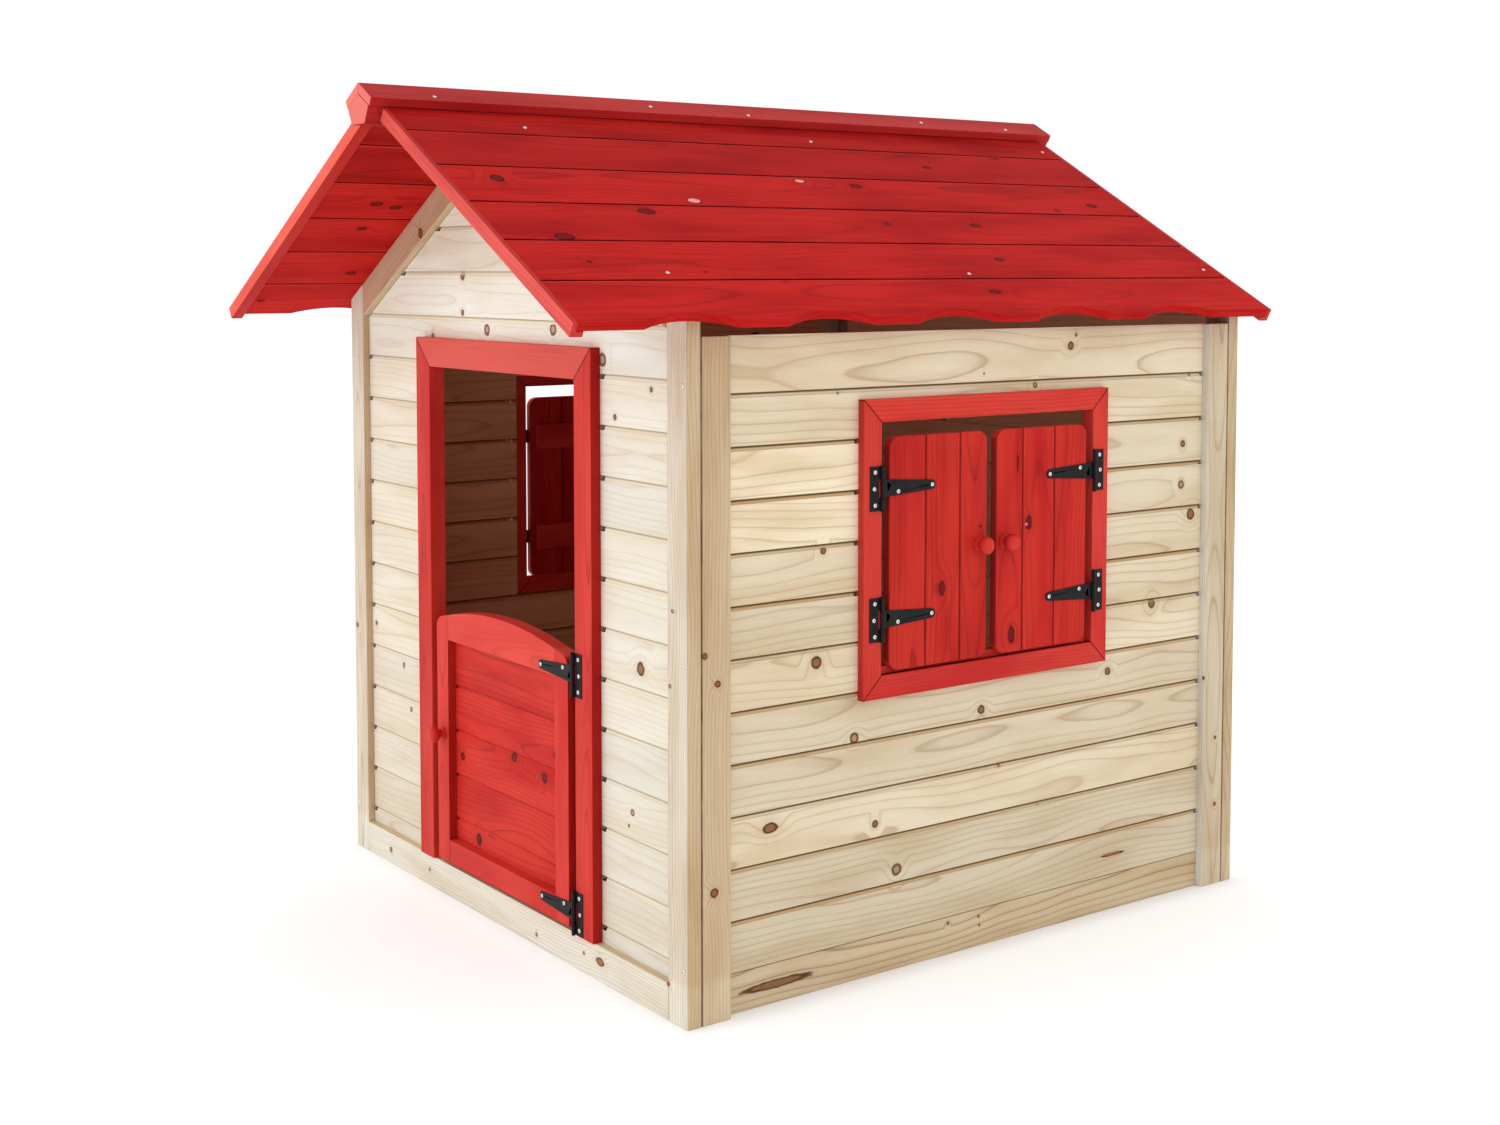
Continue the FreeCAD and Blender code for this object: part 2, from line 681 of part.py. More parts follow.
def pin(key):
    b, step = hinge_body("pin", key)
    ph = S["plate_half"]
    pad(b, "XY_Plane", -ph - 0.1, ph + 0.1, circles=[(0, 0, S["pin_rad"])])
    pad(b, "XY_Plane", ph + 0.1, ph + 1.1, circles=[(0, 0, 3.0)])
    pad(b, "XY_Plane", -ph - 1.1, -ph - 0.1, circles=[(0, 0, 3.0)])
    pair(b, step)
    return b


def screws(key, where, level, deep):
    b, step = hinge_body("screws", key)
    level = dim(level)
    pad(b, "YZ_Plane", level - deep, level, circles=[(y, z, S["screw_shank"]) for y, z in where])
    pad(b, "YZ_Plane", level, level + S["screw_tall"], circles=[(y, z, S["screw_head"]) for y, z in where])
    pair(b, step)
    return b


PLATE_HOLES = [(-13.4, 26), (-15.2, 0), (-13.4, -26)]
STRAP_HOLES = [(33.5, -6.5), (S["strap_long"] - S["strap_tip"], 0)]
node(plate("door"), "door_hinge_plates")
node(group(*[plate(k) for k in ("right_front", "right_back", "left_front", "left_back")]), "window_hinge_plates")
node(group(*[pin(k) for k in HINGES]), "hinge_pins")
node(group(*[screws(k, PLATE_HOLES, -ba - li + lf, 15.0) for k in HINGES]), "hinge_plate_screws")


# ------------------------------------------------------------ knobs
def knob(label, x, y, z, rot):
    b = new_body("knob")
    b.Placement = FreeCAD.Placement(V(dim(x).v, dim(y).v, dim(z).v), rot)
    for ax, d in (("x", x), ("y", y), ("z", z)):
        b.setExpression("Placement.Base." + ax, dim(d).e)
    kl, kr = S["knob_long"], S["knob_rad"]
    sk = sketch(b, "XZ_Plane", 0, [[
        (0, -10), (4, -10), (4, 0.0), (kr - 4, 0.0), (kr - 4, 1.8), (kr - 6.0, 3.2), (kr - 7.6, 5.0),
        (kr - 8.1, 7.2), (kr - 7.3, 9.2), (kr - 5.2, 10.8), (kr - 2.6, 12.2), (kr - 0.9, 14.0), (kr - 0.15, 16.2),
        (kr, 18.4), (kr - 0.3, 20.6), (kr - 1.2, 22.6), (kr - 2.8, 24.4), (kr - 5.0, kl - 2.2), (kr - 8.0, kl - 0.9),
        (kr - 11.0, kl - 0.2), (kr - 13.0, kl), (0, kl)]])
    rev = b.newObject("PartDesign::Revolution", fresh("turned"))
    rev.Profile = sk
    rev.ReferenceAxis = (sk, ["V_Axis"])
    rev.Angle = 360.0
    doc.recompute()
    return node(b, label) if label else b


# ------------------------------------------------------------ half door
dx0 = dl + S["door_gap"]
dx1 = dr - S["door_gap"]
dyf = face_y - li                      # front face of the door
dyb = dyf + S["door_thick"]
sw = S["stile_wide"]
dcx = (dx0 + dx1) / 2
dtop, dsh = S["door_top"], S["door_shoulder"]


def arch_cut(b, lo, hi):
    side = dsh - 23.4
    cut(b, "XZ_Plane", lo, hi, [[
        (dx0, side), ("arc", (dx0 + 5.4, side + 15.4)), (dx0 + 21, dsh), ("arc", (dcx, dtop)),
        (dx1 - 21, dsh), ("arc", (dx1 - 5.4, side + 15.4)), (dx1, side),
        (dx1 + 20, side), (dx1 + 20, dtop + 40), (dx0 - 20, dtop + 40), (dx0 - 20, side)]])


b = new_body("stiles")
pad(b, "XZ_Plane", dyf, dyb, [
    rect(dx0, S["door_bottom"], dx0 + sw, dtop + 5), rect(dx1 - sw, S["door_bottom"], dx1, dtop + 5)])
arch_cut(b, dyf - 1, dyb + 1)
node(b, "door_stiles")
b = new_body("top_rail")
pad(b, "XZ_Plane", dyf, dyb, [rect(dx0 + sw + seat, S["door_rail_high"], dx1 - sw - seat, dtop + 5)])
arch_cut(b, dyf - 1, dyb + 1)
node(b, "door_top_rail")
b = new_body("bottom_rail")
pad(b, "XZ_Plane", dyf, dyb, [rect(dx0 + sw + seat, S["door_bottom"], dx1 - sw - seat, S["door_rail_low"])])
node(b, "door_bottom_rail")

b = new_body("door_boards")
pyf = dyf + S["panel_recess"]
px0, px1 = dx0 + sw + seat, dx1 - sw - seat
dj, dp = S["door_joint"], S["door_pitch"]
one = pad(b, "YZ_Plane", px0, px1, [board_profile(pyf, 1, dj - dp, dp)])
repeat(b, one, "Z_Axis", dp, 4)
ztop = dj + dp * 3
pad(b, "YZ_Plane", px0, px1, [board_profile(pyf, 1, ztop, dp, S["door_rail_high"] - seat - ztop)])
cut(b, "XZ_Plane", pyf - 1, pyf + S["panel_thick"] + 1,
    [rect(px0 - 5, dj - dp - 10, px1 + 5, S["door_rail_low"] + seat)])
n = cut(b, "XZ_Plane", pyf - 1, pyf + 8, [rect(px0 - 1, dj - 5.6, px0 + 6, dj - 0.1)])
repeat(b, n, "Z_Axis", dp, 4)
node(b, "door_boards")
knob("door_knob", dx0 + sw / 2, dyf, 296.0, FreeCAD.Rotation(V(1, 0, 0), 90))
node(strap("door"), "door_hinge_straps")
node(screws("door", STRAP_HOLES, -ba + lf, 14.0), "door_strap_screws")


# ------------------------------------------------------------ shutters
shx = hw + S["win_proud"] + li         # front face of a shutter
sy0 = w0 + S["shut_edge"]
sy1 = sy0 + S["shut_wide"]
sz0, sz1 = S["shut_low"], S["shut_high"]
st = S["shut_thick"]


def upright_profile(y, width, tongue, groove):
    """Upright shutter board in plan: outer face at shx, running from y over the width."""
    a = dim(y)
    c = a + dim(width) - shut_gap
    p = [(shx, a + 1.6), (shx, c - 1.6), (shx - 1.6, c)]
    if tongue:
        p += [(shx - 5.0, c), (shx - 5.0, c + 5.0), (shx - 8.6, c + 5.0), (shx - 8.6, c)]
    p += [(shx - st, c), (shx - st, a)]
    if groove:
        p += [(shx - 9.0, a), (shx - 9.0, a + 5.7), (shx - 4.6, a + 5.7), (shx - 4.6, a)]
    p += [(shx - 1.6, a)]
    return p


b = new_body("shutter")
j1, j2 = S["shut_joint_one"], S["shut_joint_two"]
pad(b, "XY_Plane", sz0, sz1, [upright_profile(sy0, j1, True, False),
                              upright_profile(sy0 + j1, j2 - j1, True, True),
                              upright_profile(sy0 + j2, S["shut_wide"] - j2 + shut_gap, False, True)])
r = S["shut_round"]
k = 1 - math.sqrt(0.5)
for cy, ch, sy in ((sy0, sz0, (1, 1)), (sy1, sz0, (-1, 1)), (sy1, sz1, (-1, -1)), (sy0, sz1, (1, -1))):
    u, w = sy
    cut(b, "YZ_Plane", shx - st - 1, shx + 1, [[
        (cy - 3.0 * u, ch - 3.0 * w), (cy + r * u, ch - 3.0 * w), (cy + r * u, ch),
        ("arc", (cy + r * k * u, ch + r * k * w)), (cy, ch + r * w), (cy - 3.0 * u, ch + r * w)]])
boards = b
b = new_body("battens")
bt, bh, bi = S["batten_thick"], S["batten_half"], S["batten_inset"]
pad(b, "YZ_Plane", shx - st - seat - bt, shx - st - seat, [
    rect(sy0 + bi, S["hinge_low"] - bh, sy1 - bi, S["hinge_low"] + bh),
    rect(sy0 + bi, S["hinge_high"] - bh, sy1 - bi, S["hinge_high"] + bh)])
battens = b
handle = knob(None, shx, sy1 - 18.0, (sz0 + sz1) / 2, FreeCAD.Rotation(V(0, 1, 0), 90))
mirror_y = (axis_front + axis_back) / 2
for wall in ("right", "left"):
    for end in ("front", "back"):
        key = wall + "_" + end
        for src, word in ((boards, "boards"), (battens, "battens"), (handle, "knob")):
            o = src
            if end == "back":
                o = mirror(o, "y", mirror_y)
            if wall == "left":
                o = mirror(o, "x")
            node(o, key + "_shutter_" + word)
        node(strap(key), key + "_hinge_straps")
        node(screws(key, STRAP_HOLES, -ba + lf, 14.0), key + "_strap_screws")


# ------------------------------------------------------------ screws in walls and roof
b = new_body("wall_screws")
spots = [(sx * (hw.v - 10.5), z) for sx in (1, -1) for z in (86.0, 542.0, 955.0)]
pad(b, "XZ_Plane", fy, fy + 60, circles=[(x, z, 2.0) for x, z in spots])
pad(b, "XZ_Plane", fy - 1.6, fy, circles=[(x, z, 3.8) for x, z in spots])
node(group(b, mirror(b, "y", mid)), "wall_screws")

b = slope_body("roof_screws")
spots = [(100, -495), (585, -495), (100, 100), (590, 100), (96, 691), (577, 691)]
pad(b, "XY_Plane", -30, 0, circles=[(x, y, 2.0) for x, y in spots])
pad(b, "XY_Plane", 0, 1.6, circles=[(x, y, 3.8) for x, y in spots])
c = slope_body("cap_screws")
spots = [(31, -632), (20, -208), (33, -4), (20, 420), (31, 636)]
top = 0.25 * rc.v + 15.0
pad(c, "XY_Plane", top - 24, top, circles=[(x, y, 2.0) for x, y in spots])
pad(c, "XY_Plane", top, top + 1.6, circles=[(x, y, 3.8) for x, y in spots])
d = group(b, c)
node(group(d, mirror(d, "x")), "roof_screws")

# ------------------------------------------------------------ check and write
doc.recompute()
bad = []
for o in doc.Objects:
    if "Invalid" in o.State or "Error" in o.State:
        bad.append("%s %s %s" % (o.Name, o.Label, o.State))
for o in NODES:
    if o.Shape.isNull() or not o.Shape.isValid():
        bad.append("%s has a bad shape" % o.Label)
if bad:
    raise RuntimeError("\n".join(bad))
labels = [o.Label for o in NODES]
assert len(labels) == len(set(labels)) and len(labels) <= 60
for o in NODES:
    o.Shape.exportStep("parts/%s.step" % o.Label)
    bb = o.Shape.BoundBox
    print("%-32s solids %3d volume %10.1f  x %.1f..%.1f y %.1f..%.1f z %.1f..%.1f" % (
        o.Label, len(o.Shape.Solids), o.Shape.Volume, bb.XMin, bb.XMax, bb.YMin, bb.YMax, bb.ZMin, bb.ZMax))
print(len(NODES), "nodes")
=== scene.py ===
import bpy
import json
import math
import numpy as np
from mathutils import Matrix, Vector

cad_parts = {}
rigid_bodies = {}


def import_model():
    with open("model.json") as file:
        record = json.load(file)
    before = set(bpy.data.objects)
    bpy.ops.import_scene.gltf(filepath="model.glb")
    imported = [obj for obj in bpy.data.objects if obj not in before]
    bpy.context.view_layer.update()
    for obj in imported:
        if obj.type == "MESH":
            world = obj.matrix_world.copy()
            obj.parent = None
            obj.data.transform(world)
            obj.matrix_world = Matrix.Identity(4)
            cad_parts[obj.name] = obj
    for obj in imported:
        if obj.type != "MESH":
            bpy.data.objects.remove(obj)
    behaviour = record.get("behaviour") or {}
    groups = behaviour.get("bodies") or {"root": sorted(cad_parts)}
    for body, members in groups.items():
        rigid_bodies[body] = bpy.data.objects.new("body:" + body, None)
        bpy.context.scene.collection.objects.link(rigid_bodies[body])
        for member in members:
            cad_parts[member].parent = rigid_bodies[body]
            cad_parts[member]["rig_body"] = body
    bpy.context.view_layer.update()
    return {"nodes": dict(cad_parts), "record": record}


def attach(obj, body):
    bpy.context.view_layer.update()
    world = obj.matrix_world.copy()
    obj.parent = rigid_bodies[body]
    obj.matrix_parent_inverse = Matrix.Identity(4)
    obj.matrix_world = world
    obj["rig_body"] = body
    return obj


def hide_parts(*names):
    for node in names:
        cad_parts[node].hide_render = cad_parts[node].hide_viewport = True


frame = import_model()
nodes = frame["nodes"]
body_of = {n: o["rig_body"] for n, o in nodes.items()}

COS, SIN = 0.871965, 0.489588


# ------------------------------------------------------------------ pieces of a node
def pieces_of(mesh):
    """Vertex coordinates and a piece number for every vertex, joined where they coincide."""
    n = len(mesh.vertices)
    co = np.empty(n * 3, np.float32)
    mesh.vertices.foreach_get("co", co)
    co = co.reshape(-1, 3).astype(np.float64)
    key = np.round(co * 5e4).astype(np.int64)
    _, where = np.unique(key, axis=0, return_inverse=True)
    where = where.reshape(-1)
    ed = np.empty(len(mesh.edges) * 2, np.int32)
    mesh.edges.foreach_get("vertices", ed)
    ed = where[ed.reshape(-1, 2)]
    parent = list(range(int(where.max()) + 1))

    def find(a):
        while parent[a] != a:
            parent[a] = parent[parent[a]]
            a = parent[a]
        return a

    for a, b in ed.tolist():
        ra, rb = find(a), find(b)
        if ra != rb:
            parent[ra] = rb
    roots = np.array([find(i) for i in range(len(parent))])
    return co, roots[where]


SLOPED = ("front_gable_rafters", "back_gable_rafters", "front_barge_battens", "back_barge_battens",
          "roof_middle_battens")


def grain_axes(node, centre, pts):
    x, y, z = np.eye(3)
    if node in SLOPED:
        side = 1 if centre[0] > 0 else -1
        down = np.array([COS * side, 0, -SIN])
        out = np.array([SIN * side, 0, COS])
        rest = [y, out]
        axis = down
    elif node.endswith("roof_boards") or node == "ridge_cap_boards":
        side = 1 if centre[0] > 0 else -1
        axis = y
        rest = [np.array([COS * side, 0, -SIN]), np.array([SIN * side, 0, COS])]
    else:
        ext = [np.ptp(pts @ a) for a in (x, y, z)]
        k = int(np.argmax(ext))
        axis = (x, y, z)[k]
        rest = [a for i, a in enumerate((x, y, z)) if i != k]
    a, b = rest
    if np.ptp(pts @ a) < np.ptp(pts @ b):
        a, b = b, a
    return axis, a, b


# r1 for these pieces, which brings on the painted highlight
PICK = {"door_head": 1.0, "door_top_rail": 0.962}
ROOF_TONE = (0.0, 0.05, 0.70, 0.65, 0.70, 0.80)
# how light each row of boards is, counted from the ground; a pair gives the two parts beside the window
SIDE_TONE = (0.86, 0.88, 1.03, 0.93, 0.93, 1.04, (0.94, 1.0), 1.00, (1.16, 0.98), (1.16, 0.97), 1.02, 1.04)
FRONT_TONE = (0.92, 0.94, 0.97, 1.00, 0.96, 1.05, 1.04, 1.03, 1.05, 0.98, 1.05, 1.08, 1.00, 1.03, 1.0, 1.03, 1.0, 1.0)


def roof_row(c):
    run = abs(c[0]) * COS + (1.4057 - c[2]) * SIN
    return ROOF_TONE[min(5, max(0, int((run - 0.0075) / 0.1195)))]


def grain(node):
    """Write each piece's own grain frame on the mesh, for the wood materials."""
    mesh = nodes[node].data
    co, part = pieces_of(mesh)
    n = len(co)
    gco, rnd, gdir, rim = np.zeros((n, 3)), np.zeros((n, 3)), np.zeros((n, 3)), np.zeros((n, 3))
    ids = sorted(set(part.tolist()), key=lambda p: tuple(np.round(co[part == p].mean(0), 3)))
    seed = sum(ord(c) * (i + 3) for i, c in enumerate(node))
    rng = np.random.RandomState(seed % 100003)
    for p in ids:
        m = part == p
        lo, hi = co[m].min(0), co[m].max(0)
        c = (lo + hi) / 2
        a, t, w = grain_axes(node, c, co[m])
        d = co[m] - c
        gco[m] = np.stack([d @ a, d @ t, d @ w], 1)
        rnd[m] = rng.rand(3)
        if node in PICK:
            rnd[m, 0] = PICK[node]
        # the left front barge gets r1 = 1, which brings on the painted highlight
        elif node == "front_barge_battens":
            rnd[m, 0] = 1.0 if c[0] < 0 else 0.4
        else:
            rnd[m, 0] *= 0.9
        if node.endswith("roof_boards"):
            rnd[m, 0] = roof_row(c)
        if node in ("right_cladding", "right_window_boards"):
            v = SIDE_TONE[min(11, int((c[2] - 0.0627) / 0.07975))]
            if isinstance(v, tuple):
                v = v[0] if c[1] < 0.1 else v[1]
            rnd[m, 0] = 0.5 + (v - 1.0) / 0.44
        elif node == "front_cladding":
            v = FRONT_TONE[min(17, max(0, int((c[2] - 0.0065) / 0.07955)))]
            rnd[m, 0] = 0.5 + (v - 1.0) / 0.44
        elif node.endswith("cladding") or node.endswith("window_boards"):
            rnd[m, 0] = 0.32 + 0.36 * rnd[m, 0]
        gdir[m] = a
        # how far across the outer face a point lies: 1 at the edge of the board
        face = m & (np.abs(co[:, 0]) > 0.5755) if node.endswith("shutter_boards") else np.zeros(n, bool)
        if face.sum() > 3:
            q0, q1 = co[face] @ t, co[m] @ t
            mid_t, half = (q0.min() + q0.max()) / 2, (q0.max() - q0.min()) / 2 + 0.0008
            rim[m, 0] = (q1 - mid_t) / half
            rim[m, 1] = half
    rnd = np.clip(rnd, 0.0, 1.0)
    for name, arr in (("gco", gco), ("rnd", rnd), ("gdir", gdir), ("rim", rim)):
        at = mesh.attributes.new(name, "FLOAT_VECTOR", "POINT")
        at.data.foreach_set("vector", arr.astype(np.float32).ravel())
    return co, part, ids


# ------------------------------------------------------------------ shader helpers
class Tree:
    def __init__(self, name):
        self.mat = bpy.data.materials.new(name)
        self.mat.use_nodes = True
        self.nt = self.mat.node_tree
        self.nt.nodes.clear()
        self.out = self.nt.nodes.new("ShaderNodeOutputMaterial")
        self.bsdf = self.nt.nodes.new("ShaderNodeBsdfPrincipled")
        self.nt.links.new(self.bsdf.outputs[0], self.out.inputs[0])

    def put(self, sock, v):
        if v is None:
            return
        if isinstance(v, bpy.types.NodeSocket):
            self.nt.links.new(v, sock)
        else:
            if isinstance(v, (tuple, list)) and len(v) == 3 and sock.type == "RGBA":
                v = (*v, 1.0)
            sock.default_value = v

    def new(self, kind, **props):
        n = self.nt.nodes.new(kind)
        for k, v in props.items():
            setattr(n, k, v)
        return n

    def math(self, op, a, b=None, c=None, clamp=False):
        n = self.new("ShaderNodeMath", operation=op, use_clamp=clamp)
        for i, v in enumerate((a, b, c)):
            self.put(n.inputs[i], v)
        return n.outputs[0]

    def vmath(self, op, a, b=None, scale=None):
        n = self.new("ShaderNodeVectorMath", operation=op)
        self.put(n.inputs[0], a)
        if b is not None:
            self.put(n.inputs[1], b)
        if scale is not None:
            self.put(n.inputs["Scale"], scale)
        return n.outputs["Value"] if op in ("LENGTH", "DISTANCE", "DOT_PRODUCT") else n.outputs["Vector"]

    def mix(self, fac, a, b, blend="MIX"):
        n = self.new("ShaderNodeMix", data_type="RGBA", blend_type=blend)
        self.put(n.inputs[0], fac)
        self.put(n.inputs[6], a)
        self.put(n.inputs[7], b)
        return n.outputs[2]

    def attr(self, name):
        return self.new("ShaderNodeAttribute", attribute_name=name).outputs["Vector"]

    def split(self, v):
        n = self.new("ShaderNodeSeparateXYZ")
        self.put(n.inputs[0], v)
        return n.outputs[0], n.outputs[1], n.outputs[2]

    def join(self, x, y, z):
        n = self.new("ShaderNodeCombineXYZ")
        for i, v in enumerate((x, y, z)):
            self.put(n.inputs[i], v)
        return n.outputs[0]

    def noise(self, vec, scale=1.0, detail=2.0, rough=0.5, dist=0.0):
        n = self.new("ShaderNodeTexNoise")
        self.put(n.inputs["Vector"], vec)
        n.inputs["Scale"].default_value = scale
        n.inputs["Detail"].default_value = detail
        n.inputs["Roughness"].default_value = rough
        n.inputs["Distortion"].default_value = dist
        return n.outputs[0]

    def voronoi(self, vec, scale=1.0, dims="2D"):
        n = self.new("ShaderNodeTexVoronoi", voronoi_dimensions=dims)
        self.put(n.inputs["Vector"], vec)
        n.inputs["Scale"].default_value = scale
        return n.outputs["Distance"], n.outputs["Color"]

    def ramp(self, fac, stops, interp="LINEAR"):
        n = self.new("ShaderNodeValToRGB")
        self.put(n.inputs[0], fac)
        cr = n.color_ramp
        cr.interpolation = interp
        while len(cr.elements) < len(stops):
            cr.elements.new(0.5)
        for e, (p, c) in zip(cr.elements, stops):
            e.position = p
            e.color = (c, c, c, 1) if isinstance(c, (int, float)) else (*c, 1)
        return n.outputs[0]

    def smooth(self, v, lo, hi, a=0.0, b=1.0):
        n = self.new("ShaderNodeMapRange", interpolation_type="SMOOTHSTEP")
        self.put(n.inputs[0], v)
        for i, x in enumerate((lo, hi, a, b)):
            self.put(n.inputs[i + 1], x)
        return n.outputs[0]


def srgb(r, g, b):
    def f(v):
        v /= 255.0
        return v / 12.92 if v <= 0.04045 else ((v + 0.055) / 1.055) ** 2.4
    return (f(r), f(g), f(b))


LONG = {"tallZ": (1.0, 1.0, 2.0), "lineZ": (1.0, 1.0, 6.0), "wideY": (1.0, 1.7, 1.0), "streakY": (1.0, 10.0, 1.0),
        "pale": (1.0, 1.5, 1.0)}


def wood(name, early, late, warm, end, knot=(0.09, 0.035, 0.014), rim=(0.30, 0.15, 0.07),
         contrast=0.6, ring=0.0042, spread=0.10, density=0.22, knot_size=1.0, rough=0.55, bump=0.25,
         knots=(), streak=0.10, specular=0.35, tone=0.14, joint=None, face=None, interior_shade=None,
         light=(0.6, 0.2, 0.18), grade=(1.0, 1.0, 1.0), clear=None, rims=0.0, picked_highlight=None, painted_gradients=(),
         notch_shade=None, under=None, seams=False, side_face_shade=None, lines=(), rafter_face_shade=None):
    """Sawn softwood: rings cut through lengthwise, fibres, knots and paler or darker pieces."""
    T = Tree(name)
    s, t, w = T.split(T.attr("gco"))
    r1, r2, r3 = T.split(T.attr("rnd"))
    s0 = T.math("MULTIPLY_ADD", r1, 40.0, s)
    # knots listed one by one, in the row frame
    here = T.new("ShaderNodeTexCoord").outputs["Object"]
    near = pale = ringed = None
    push = 0.0
    for k in knots:
        (kx, ky, kz), rad, kind = k
        inv = [1.0 / rad, 1.0 / rad, 1.0 / rad]
        for i, f in enumerate(LONG.get(kind, (1.0, 1.0, 1.0))):
            inv[i] /= f
        d = T.vmath("LENGTH", T.vmath("MULTIPLY", T.vmath("SUBTRACT", here, (kx, ky, kz)), tuple(inv)))
        if rad > 0.0022 and kind != "streakY":
            push = T.math("ADD", T.smooth(d, 4.6, 0.2, 0.0, rad * 1.6), push)
        if kind == "pale":
            pale = d if pale is None else T.math("MINIMUM", pale, d)
        elif kind == "ring":
            ringed = d if ringed is None else T.math("MINIMUM", ringed, d)
        else:
            near = d if near is None else T.math("MINIMUM", near, d)
    # scattered knots, one at most in each cell of the face
    kv = T.join(T.math("MULTIPLY_ADD", r2, 31.0, T.math("MULTIPLY", s0, 4.2)),
                T.math("MULTIPLY_ADD", r3, 23.0, T.math("MULTIPLY", t, 7.0)), 0.0)
    dist, col = T.voronoi(kv)
    cr, cg, cb = T.split(col)
    some = T.math("LESS_THAN", cr, density)
    if clear is not None:
        seen = T.math("MULTIPLY", T.split(here)["XYZ".index(clear[0])], clear[1])
        some = T.math("MULTIPLY", some, T.math("LESS_THAN", seen, 0.0))
    size = T.math("MULTIPLY_ADD", cg, 0.045 * knot_size, 0.022 * knot_size)
    k = T.math("DIVIDE", dist, size)
    k = T.math("ADD", k, T.math("MULTIPLY", T.math("SUBTRACT", 1.0, some), 100.0))
    push = T.math("ADD", push, T.smooth(k, 3.6, 0.3, 0.0, 0.007))
    if near is not None:
        k = T.math("MINIMUM", k, near)
    wob = T.noise(T.join(T.math("MULTIPLY", s0, 60.0), T.math("MULTIPLY", t, 120.0), r1), 1.0, 2.0, 0.5)
    k = T.math("MULTIPLY", k, T.math("MULTIPLY_ADD", wob, 0.5, 0.75))
    # the log: distance from a pith line that wanders under the piece
    slow = T.noise(T.join(T.math("MULTIPLY", s0, 1.5), T.math("MULTIPLY", t, 2.0), T.math("MULTIPLY", w, 2.0)),
                   1.0, 2.0, 0.45)
    slow2 = T.noise(T.join(T.math("MULTIPLY", s0, 2.3), r3, r2), 1.0, 1.0, 0.4)
    t0 = T.math("SUBTRACT", T.math("MULTIPLY_ADD", r2, -spread, t), -spread * 0.5)
    t1 = T.math("MULTIPLY_ADD", T.math("SUBTRACT", slow2, 0.5), 0.045, t0)
    w0 = T.math("ADD", w, T.math("MULTIPLY_ADD", r3, 0.060, 0.022))
    w1 = T.math("MULTIPLY_ADD", T.math("SUBTRACT", slow, 0.5), 0.055, w0)
    rad = T.math("SQRT", T.math("ADD", T.math("MULTIPLY", t1, t1), T.math("MULTIPLY", w1, w1)))
    rad = T.math("ADD", rad, push)
    fine = T.noise(T.join(T.math("MULTIPLY", s0, 9.0), T.math("MULTIPLY", t, 60.0), T.math("MULTIPLY", w, 60.0)),
                   1.0, 2.0, 0.5)
    rad = T.math("MULTIPLY_ADD", T.math("SUBTRACT", fine, 0.5), 0.0012, rad)
    phase = T.math("DIVIDE", rad, ring)
    frac = T.math("FRACT", phase)
    line = T.ramp(frac, [(0.0, 0.45), (0.06, 0.08), (0.5, 0.0), (0.84, 0.22), (0.95, 0.9), (0.98, 1.0), (1.0, 0.45)])
    per_ring = T.noise(T.join(T.math("FLOOR", phase), r1, 0.0), 0.73, 1.0, 0.5)
    line = T.math("MULTIPLY", line, T.math("MULTIPLY_ADD", per_ring, 1.3, 0.15, clamp=True))
    # fibres and slow colour drift
    fib = T.noise(T.join(T.math("MULTIPLY", s0, 14.0), T.math("MULTIPLY", t, 520.0), T.math("MULTIPLY", w, 520.0)),
                  1.0, 3.0, 0.6)
    drift = T.noise(T.join(T.math("MULTIPLY", s0, 3.0), T.math("MULTIPLY", t, 16.0), T.math("MULTIPLY", w, 16.0)),
                    1.0, 3.0, 0.55)
    colour = T.mix(T.smooth(drift, 0.35, 0.72), early, warm)
    colour = T.mix(T.math("MULTIPLY", line, contrast), colour, late)
    # end grain is a different tone
    nrm = T.new("ShaderNodeTexCoord").outputs["Normal"]
    along = T.math("ABSOLUTE", T.vmath("DOT_PRODUCT", nrm, T.attr("gdir")))
    is_end = T.smooth(along, 0.75, 0.92)
    colour = T.mix(T.math("MULTIPLY", is_end, 0.85), colour, end)
    shade = T.math("MULTIPLY_ADD", T.math("SUBTRACT", fib, 0.5), streak * 2.0, 1.0)
    vary = T.math("MULTIPLY_ADD", T.math("SUBTRACT", r1, 0.5), tone, 1.0)
    colour = T.mix(1.0, colour, T.join(T.math("MULTIPLY", shade, vary), T.math("MULTIPLY", shade, vary),
                                       T.math("MULTIPLY", shade, vary)), "MULTIPLY")
    # painted highlight: pieces with r1 near 1 (the door head, the top rail, the left front barge) are mixed towards a
    # paler colour
    if picked_highlight is not None:
        colour = T.mix(T.smooth(r1, 0.93, 0.999, 0.0, 0.20), colour, picked_highlight)
